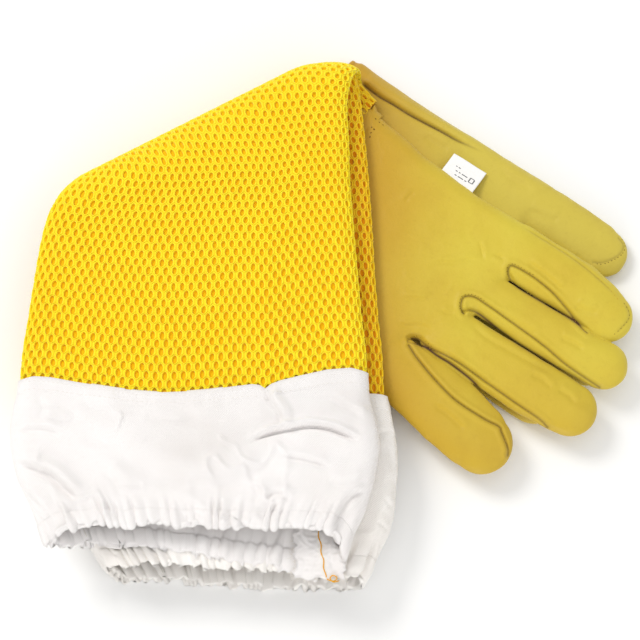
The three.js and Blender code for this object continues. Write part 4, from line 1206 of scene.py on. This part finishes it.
def strand(name, pts, radius, mat, nv=6, n=60):
    """A thin round thread through 3-D points."""
    p = np.asarray(pts, float)
    q = np.vstack([2 * p[0] - p[1], p, 2 * p[-1] - p[-2]])
    C = []
    for i in range(1, len(q) - 2):
        for t in np.linspace(0, 1, max(3, n // (len(p) - 1)), endpoint=False):
            C.append(0.5 * ((2 * q[i]) + (-q[i - 1] + q[i + 1]) * t + (2 * q[i - 1] - 5 * q[i] + 4 * q[i + 1] - q[i + 2]) * t * t
                            + (-q[i - 1] + 3 * q[i] - 3 * q[i + 1] + q[i + 2]) * t ** 3))
    C.append(p[-1]); C = np.array(C)
    T = np.gradient(C, axis=0); T /= np.maximum(np.linalg.norm(T, axis=1, keepdims=True), 1e-9)
    up = np.where(np.abs(T[:, 2:3]) > 0.9, np.array([[1.0, 0, 0]]), np.array([[0, 0, 1.0]]))
    S = np.cross(T, up); S /= np.maximum(np.linalg.norm(S, axis=1, keepdims=True), 1e-9)
    W_ = np.cross(S, T)
    ph = np.arange(nv) * 2 * math.pi / nv
    rad = radius * np.minimum(1, np.minimum(np.arange(len(C)), np.arange(len(C))[::-1]) / 2 + 0.25)
    V = C[:, None] + (S[:, None] * np.cos(ph)[None, :, None] + W_[:, None] * np.sin(ph)[None, :, None]) * rad[:, None, None]
    k = len(C)
    a, b = np.meshgrid(np.arange(k - 1), np.arange(nv), indexing="ij"); a, b = a.ravel(), b.ravel()
    Q = np.stack([a * nv + b, (a + 1) * nv + b, (a + 1) * nv + (b + 1) % nv, a * nv + (b + 1) % nv], -1)
    V2 = V.reshape(-1, 3)
    if name is None:
        return V2, Q
    return make(name, V2, Q, mat)


def lower_inner(x, y):
    """Height of the left cuff's lower layer, seen from above, inside the mouth."""
    Vc, Vb, Vh = cuff_rows["left"]
    sel = np.concatenate([Vh.reshape(-1, 3), Vc.reshape(-1, 3)])
    d = np.hypot(sel[:, 0] - x, sel[:, 1] - y)
    near = sel[(d < 1.6) & (sel[:, 2] < 38)]
    return float(near[:, 2].max()) if len(near) else 33.0


# raw seam allowance inside the left cuff's mouth, with its yellow overlock thread
def seam_flap():
    rs = np.random.default_rng(5)
    nu, nv = 44, 60
    V = np.zeros((nu, nv, 3))
    for i, u in enumerate(np.linspace(0, 1, nu)):
        for j, v in enumerate(np.linspace(0, 1, nv)):
            xa = -13.4 + 1.0 * v + 0.9 * math.sin(v * 19) + 0.5 * math.sin(v * 47 + 1)
            xb = 8.5 + 4.5 * v + 0.9 * math.sin(v * 23 + 2) + 0.4 * math.sin(v * 61)
            y = -109.5 - 28.2 * v - (0.06 * (xa + xb)) + 0.8 * math.sin(u * 17) * (v > 0.96)
            x = xa + (xb - xa) * u
            V[i, j] = (x, y, 0)
    flat_ = V.reshape(-1, 3)
    zz = np.array([lower_inner(p[0], p[1]) for p in flat_[:: 7]])
    zi = np.interp(np.arange(len(flat_)), np.arange(0, len(flat_), 7), zz)
    zi = zi.reshape(nu, nv)
    for _ in range(6):
        zi = (zi + np.roll(zi, 1, 0) + np.roll(zi, -1, 0) + np.roll(zi, 1, 1) + np.roll(zi, -1, 1)) / 5
    u = np.linspace(0, 1, nu)[:, None]; v = np.linspace(0, 1, nv)[None]
    V[..., 2] = zi + 0.75 + 0.5 * np.sin(u * 9 + v * 3) * 0.5 + 0.25 * noise2(u * 20, v * 26, 1.2, 8) - 0.5 * sm((np.abs(u - 0.5) - 0.42) / 0.08)
    V[..., 2] = np.minimum(V[..., 2], 38.0)
    f = grid_faces(nu, nv)
    low = V.copy(); low[..., 2] -= 0.6
    Vall = np.concatenate([V.reshape(-1, 3), low.reshape(-1, 3)])
    n = nu * nv
    def rim(idx):
        idx = np.array(idx)
        return np.stack([idx[:-1], idx[1:], idx[1:] + n, idx[:-1] + n], -1)
    r1 = rim([i * nv for i in range(nu)]); r2 = rim([i * nv + nv - 1 for i in range(nu)][::-1])
    r3 = rim([j for j in range(nv)][::-1]); r4 = rim([(nu - 1) * nv + j for j in range(nv)])
    ob = make("left_cuff_seam_allowance", Vall, np.concatenate([f, flip(f) + n, r1, r2, r3, r4]), M_COTTON)
    # yellow overlock line and its loose end
    line = []
    for k in np.linspace(0.02, 1.0, 16):
        x = -1.4 + 4.3 * k + 0.35 * math.sin(k * 21)
        y = -110.5 - 27.0 * k
        j = min(nv - 1, int(k * (nv - 1)))
        i = int(np.argmin(np.abs(V[:, j, 0] - x)))
        line.append((x, y, V[i, j, 2] + 0.28))
    th = [strand("left_cuff_yellow_thread", line, 0.30, M_THREAD_Y, 6, 90)]
    zed = line[-1][2]
    loop = [line[-1], (4.4, -138.4, zed + 0.3), (7.0, -138.9, zed + 0.5), (8.4, -137.3, zed + 0.8), (6.4, -136.2, zed + 0.9), (5.0, -137.6, zed + 0.7), (6.6, -139.3, zed + 0.2), (9.6, -138.7, zed + 0.1)]
    th.append(strand("left_cuff_thread_end", loop, 0.28, M_THREAD_Y, 6, 80))
    # frayed warp ends along the raw edges
    Vs, Qs, base = [], [], 0
    for k in range(150):
        if k < 95:
            j = rs.integers(nv // 3, nv); i = 0 if rs.random() < 0.55 else nu - 1
        else:
            j = nv - 1; i = rs.integers(0, nu)
        p = V[i, j] + np.array([0, 0, -0.2])
        ang = rs.normal(math.pi if i == 0 else 0.0, 0.7) if k < 95 else rs.normal(-math.pi / 2, 0.8)
        ln = rs.uniform(0.8, 2.9)
        d = np.array([math.cos(ang), math.sin(ang), rs.uniform(-0.1, 0.45)])
        c = np.array([-d[1], d[0], 0]) * rs.normal(0, 0.5)
        pts = [p, p + d * ln * 0.45 + c * 0.4, p + d * ln + c * 1.1 + np.array([0, 0, -0.2])]
        v, q = strand(None, pts, rs.uniform(0.07, 0.13), None, 4, 8)
        Vs.append(v); Qs.append(q + base); base += len(v)
    th.append(make("left_cuff_frayed_ends", np.concatenate(Vs), np.concatenate(Qs), M_THREAD_W))
    return ob, th


flap, flap_threads = seam_flap()
ride_on("left_sleeve", flap, *flap_threads)


# ------------------------------------------------------------------ leather wrist bands
def wrist_band(name, q0, q1, zc, half_t, mat, shift=0.0, slant=0.0):
    cq, W = (q0 + q1) / 2, (q1 - q0) / 2
    an = 360
    a = np.arange(an) / an
    prof = [(-50.2, -0.9), (-50.4, -0.2), (-50.0, 0.3), (-48.6, 0.42), (-48.2, 0.12), (-47.6, 0.42), (-44, 0.5), (-41.5, 0.3), (-40.2, 0.06), (-39.4, -0.25), (-39.6, -1.2), (-45, -1.4)]
    V = np.zeros((an, len(prof), 3))
    for j, (s, h) in enumerate(prof):
        sx, sz, nx, nz = section(a, np.full(an, W))
        hh = h + 0.12 * noise2(a * 300, a * 0 + s, 3.0, 81)
        q = cq - (sx + nx * hh)
        xy = hand(s + shift - slant * sm((q - 92) / 40), q)
        V[:, j, :2] = xy
        V[:, j, 2] = zc + sz * (half_t - 0.45) / 4.75 + nz * hh
    k = len(prof)
    A0, B0 = np.meshgrid(np.arange(an), np.arange(k), indexing="ij"); A0, B0 = A0.ravel(), B0.ravel()
    q4 = np.stack([A0 * k + B0, ((A0 + 1) % an) * k + B0, ((A0 + 1) % an) * k + (B0 + 1) % k, A0 * k + (B0 + 1) % k], -1)
    Vf = V.reshape(-1, 3)
    return make(name, Vf, q4, mat)


M_TRIM = leather_mat("leather_trim", srgb(206, 178, 68), srgb(198, 160, 50), srgb(156, 114, 30))
band_l = wrist_band("left_wrist_band_leather", -24.2, 133.2, 5.2, 5.0, M_TRIM, 0.0, 17.0)
band_r = wrist_band("right_wrist_band_leather", -28.0, 112.4, 15.3, 5.0, M_LEATHER, 5.2)

# ------------------------------------------------------------------ care label, with plain marks only
def label_piece():
    s0, s1, q0, q1 = 8.2, 28.6, 101.6, 117.0
    nu, nv = 30, 26
    V = np.zeros((nu, nv, 3))
    for i, u in enumerate(np.linspace(0, 1, nu)):
        for j, v in enumerate(np.linspace(0, 1, nv)):
            s = s0 + (s1 - s0) * u; q = q0 + (q1 - q0) * v
            x, y = hand(s, q)
            k = max(0.0, (q - 104.0) / (q1 - 104.0))
            z = 15.4 + (11.5 - 15.4) * (k ** 0.8) + 0.5 * math.sin(u * 4.4 + 0.6) * k + 0.9 * k ** 3 * (u - 0.2)
            zt = left_top(np.array([x]), np.array([y]))[0]
            if np.isfinite(zt):
                z = max(z, zt + 0.5)
            V[i, j] = (x, y, z)
    f = grid_faces(nu, nv)
    low = V.copy(); low[..., 2] -= 0.32
    n = nu * nv
    Vall = np.concatenate([V.reshape(-1, 3), low.reshape(-1, 3)])
    def rim(idx):
        idx = np.array(idx)
        return np.stack([idx[:-1], idx[1:], idx[1:] + n, idx[:-1] + n], -1)
    rims = [rim([i * nv for i in range(nu)][::-1]), rim([i * nv + nv - 1 for i in range(nu)]), rim([j for j in range(nv)]), rim([(nu - 1) * nv + j for j in range(nv)][::-1])]
    ob = make("care_label_cloth", Vall, np.concatenate([f, flip(f) + n] + rims), M_LABEL)

    def surf(u, v, lift=0.05):
        fi, fj = u * (nu - 1.001), v * (nv - 1.001)
        i, j = int(fi), int(fj); a, b = fi - i, fj - j
        p = V[i, j] * (1 - a) * (1 - b) + V[i + 1, j] * a * (1 - b) + V[i, j + 1] * (1 - a) * b + V[i + 1, j + 1] * a * b
        return p + np.array([0, 0, lift])
    Vm, Qm, base = [], [], 0

    def bar(u0, v0, u1, v1, w):
        nonlocal base
        m = 8
        d = np.array([u1 - u0, (v1 - v0)]); L = math.hypot(*d) or 1; nrm = np.array([-d[1], d[0]]) / L * w / 2
        pts = []
        for k in np.linspace(0, 1, m):
            for sgn in (-1, 1):
                pts.append(surf(min(max(u0 + d[0] * k + nrm[0] * sgn, 0), 1), min(max(v0 + d[1] * k + nrm[1] * sgn, 0), 1)))
        Vm.append(np.array(pts))
        Qm.append(np.array([[2 * k, 2 * k + 2, 2 * k + 3, 2 * k + 1] for k in range(m - 1)]) + base)
        base += 2 * m
    for v0, segs in ((0.30, ((0.34, 0.40), (0.44, 0.60), (0.64, 0.70))), (0.46, ((0.30, 0.36), (0.40, 0.45), (0.49, 0.66))), (0.62, ((0.24, 0.28), (0.32, 0.38)))):
        for a, b in segs:
            bar(a, v0, b, v0, 0.035)
    for (u0, v0, u1, v1) in ((0.74, 0.34, 0.86, 0.34), (0.86, 0.34, 0.86, 0.52), (0.86, 0.52, 0.74, 0.52), (0.74, 0.52, 0.74, 0.34)):
        bar(u0, v0, u1, v1, 0.03)
    marks = make("care_label_marks", np.concatenate(Vm), np.concatenate(Qm), M_MARK)
    return ob, marks


label, label_marks = label_piece()

# ------------------------------------------------------------------ riding and replacing, with each finger's knuckle line worked out
hinge = frame["joints"]
for o, z0, z1 in ((A_net_o, 0.0053, 0.0354), (A_base_o, 0.0053, 0.0354), (A_net_i, 0.0102, 0.0304), (A_base_i, 0.0118, 0.0290)):
    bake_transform(o)
for o in (B_upper_o, B_upper_i, B_ubase_o, B_ubase_i):
    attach(o, "right_sleeve")
for o in (B_bend_o, B_bbase_o):
    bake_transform(o)
for o in (B_bend_i, B_bbase_i):
    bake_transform(o)
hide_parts("left_sleeve_under", "left_sleeve_fold", "left_sleeve_upper")
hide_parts("right_sleeve_under", "right_sleeve_fold")
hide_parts("right_sleeve_upper")

KN = {"index": "right_index", "middle": "right_middle", "ring": "right_ring", "little": "right_little"}
for k, o in left_parts.items():
    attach(o, "left_glove")
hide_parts("left_hand_back")
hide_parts("left_hand_palm")
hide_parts("left_index_finger", "left_index_middle_fourchette")
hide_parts("left_middle_finger", "left_middle_ring_fourchette")
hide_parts("left_ring_finger", "left_ring_little_fourchette")
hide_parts("left_little_finger")
for k in ("hand", "palm"):
    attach(right_parts[k], "right_glove")
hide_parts("right_hand_back")
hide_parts("right_hand_palm")
knuckle_blend = {}
for k, body in KN.items():
    j = [q for q in hinge if q["name"] == f"right_{k}_knuckle"][0]
    f0, f1 = np.array(RIGHT_FINGERS[k][0][:2]), np.array(RIGHT_FINGERS[k][2][:2])
    d = f1 - f0; d /= np.linalg.norm(d)
    root = f0 + d * (RIGHT_FINGERS[k][0][2] * 0.45 + (6 if k == "little" else 2))
    a, b = to_m([*root, 15.4]), to_m([*(root + d * 17.0), 15.4])
    knuckle_blend[k] = (a, b)
    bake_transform(right_parts[k])
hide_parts("right_index_finger", "right_index_middle_fourchette")
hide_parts("right_middle_finger", "right_middle_ring_fourchette")
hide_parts("right_ring_finger", "right_ring_little_fourchette")
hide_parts("right_little_finger")
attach(thumb_r, "right_glove"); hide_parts("right_thumb")
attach(thumb_l, "left_glove"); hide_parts("left_thumb")
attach(band_l, "left_glove"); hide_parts("left_wrist_band")
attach(band_r, "right_glove"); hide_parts("right_wrist_band")
for side in ("left", "right"):
    cuff, band, hem, el = cuff_parts[side]
    for o, s_, node in ((cuff, "cotton_twill", f"{side}_cuff"), (band, "cotton_twill", f"{side}_cuff_seam_band"), (hem, "cotton_twill", f"{side}_hem_casing"), (el, "elastic", f"{side}_hem_elastic")):
        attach(o, f"{side}_sleeve"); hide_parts(node)
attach(label, "label"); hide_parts("care_label")
label_marks.parent = None
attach(label_marks, "label")
finger_of = {"right_index": "index", "right_middle": "middle", "right_ring": "ring", "right_little": "little"}
for body, obs in threads.items():
    for o in obs:
        if body in finger_of:
            a, b = knuckle_blend[finger_of[body]]
            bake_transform(o)
        else:
            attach(o, body)

# ------------------------------------------------------------------ floor, light, camera
bpy.ops.mesh.primitive_plane_add(size=8.0, location=(0, 0, -0.0002))
floor = bpy.context.object
floor.name = "studio_floor"
mf, ntf, bf = new_mat("studio_floor_paint")
bf.inputs["Base Color"].default_value = (0.94, 0.94, 0.935, 1)
bf.inputs["Roughness"].default_value = 0.9
bf.inputs["Specular IOR Level"].default_value = 0.1
floor.data.materials.append(mf)

world = bpy.context.scene.world or bpy.data.worlds.new("studio")
bpy.context.scene.world = world
world.use_nodes = True
bg = world.node_tree.nodes["Background"]
bg.inputs["Color"].default_value = (1.0, 0.995, 0.985, 1)
bg.inputs["Strength"].default_value = 0.62


def area(name, loc, target, size, power, color=(1, 1, 1)):
    l = bpy.data.lights.new(name, "AREA")
    l.shape = "DISK"
    l.size = size
    l.energy = power
    l.color = color
    o = bpy.data.objects.new(name, l)
    bpy.context.collection.objects.link(o)
    o.location = loc
    o.rotation_euler = (Vector(target) - Vector(loc)).to_track_quat("-Z", "Y").to_euler()
    return o


area("key_light", (-0.85, 0.75, 1.25), (0, 0, 0.02), 0.7, 12.6, (1.0, 0.985, 0.96))
area("fill_light", (1.0, -0.5, 1.3), (0, 0, 0.02), 1.2, 3.4, (0.97, 0.985, 1.0))
area("top_light", (0.0, 0.1, 1.9), (0, 0, 0.0), 1.4, 3.0, (1, 1, 1))
area("front_light", (-0.15, -1.25, 0.42), (-0.06, -0.12, 0.03), 0.7, 5.0, (1, 0.995, 0.985))

tgt = np.array([0.0, 0.0, 15.0]) + SHIFT
loc = tgt + 1100.0 * np.array([0, -math.cos(math.radians(75)), math.sin(math.radians(75))])
cam_d = bpy.data.cameras.new("camera")
cam_d.sensor_width = 36.0
cam_d.lens = 118.9
cam_d.clip_start, cam_d.clip_end = 0.05, 20.0
cam = bpy.data.objects.new("camera", cam_d)
bpy.context.collection.objects.link(cam)
cam.location = Vector(loc / 1000.0)
cam.rotation_euler = (Vector(tgt / 1000.0) - cam.location).to_track_quat("-Z", "Y").to_euler()
bpy.context.scene.camera = cam
bpy.context.scene.view_settings.view_transform = "Standard"
bpy.context.scene.view_settings.look = "None"
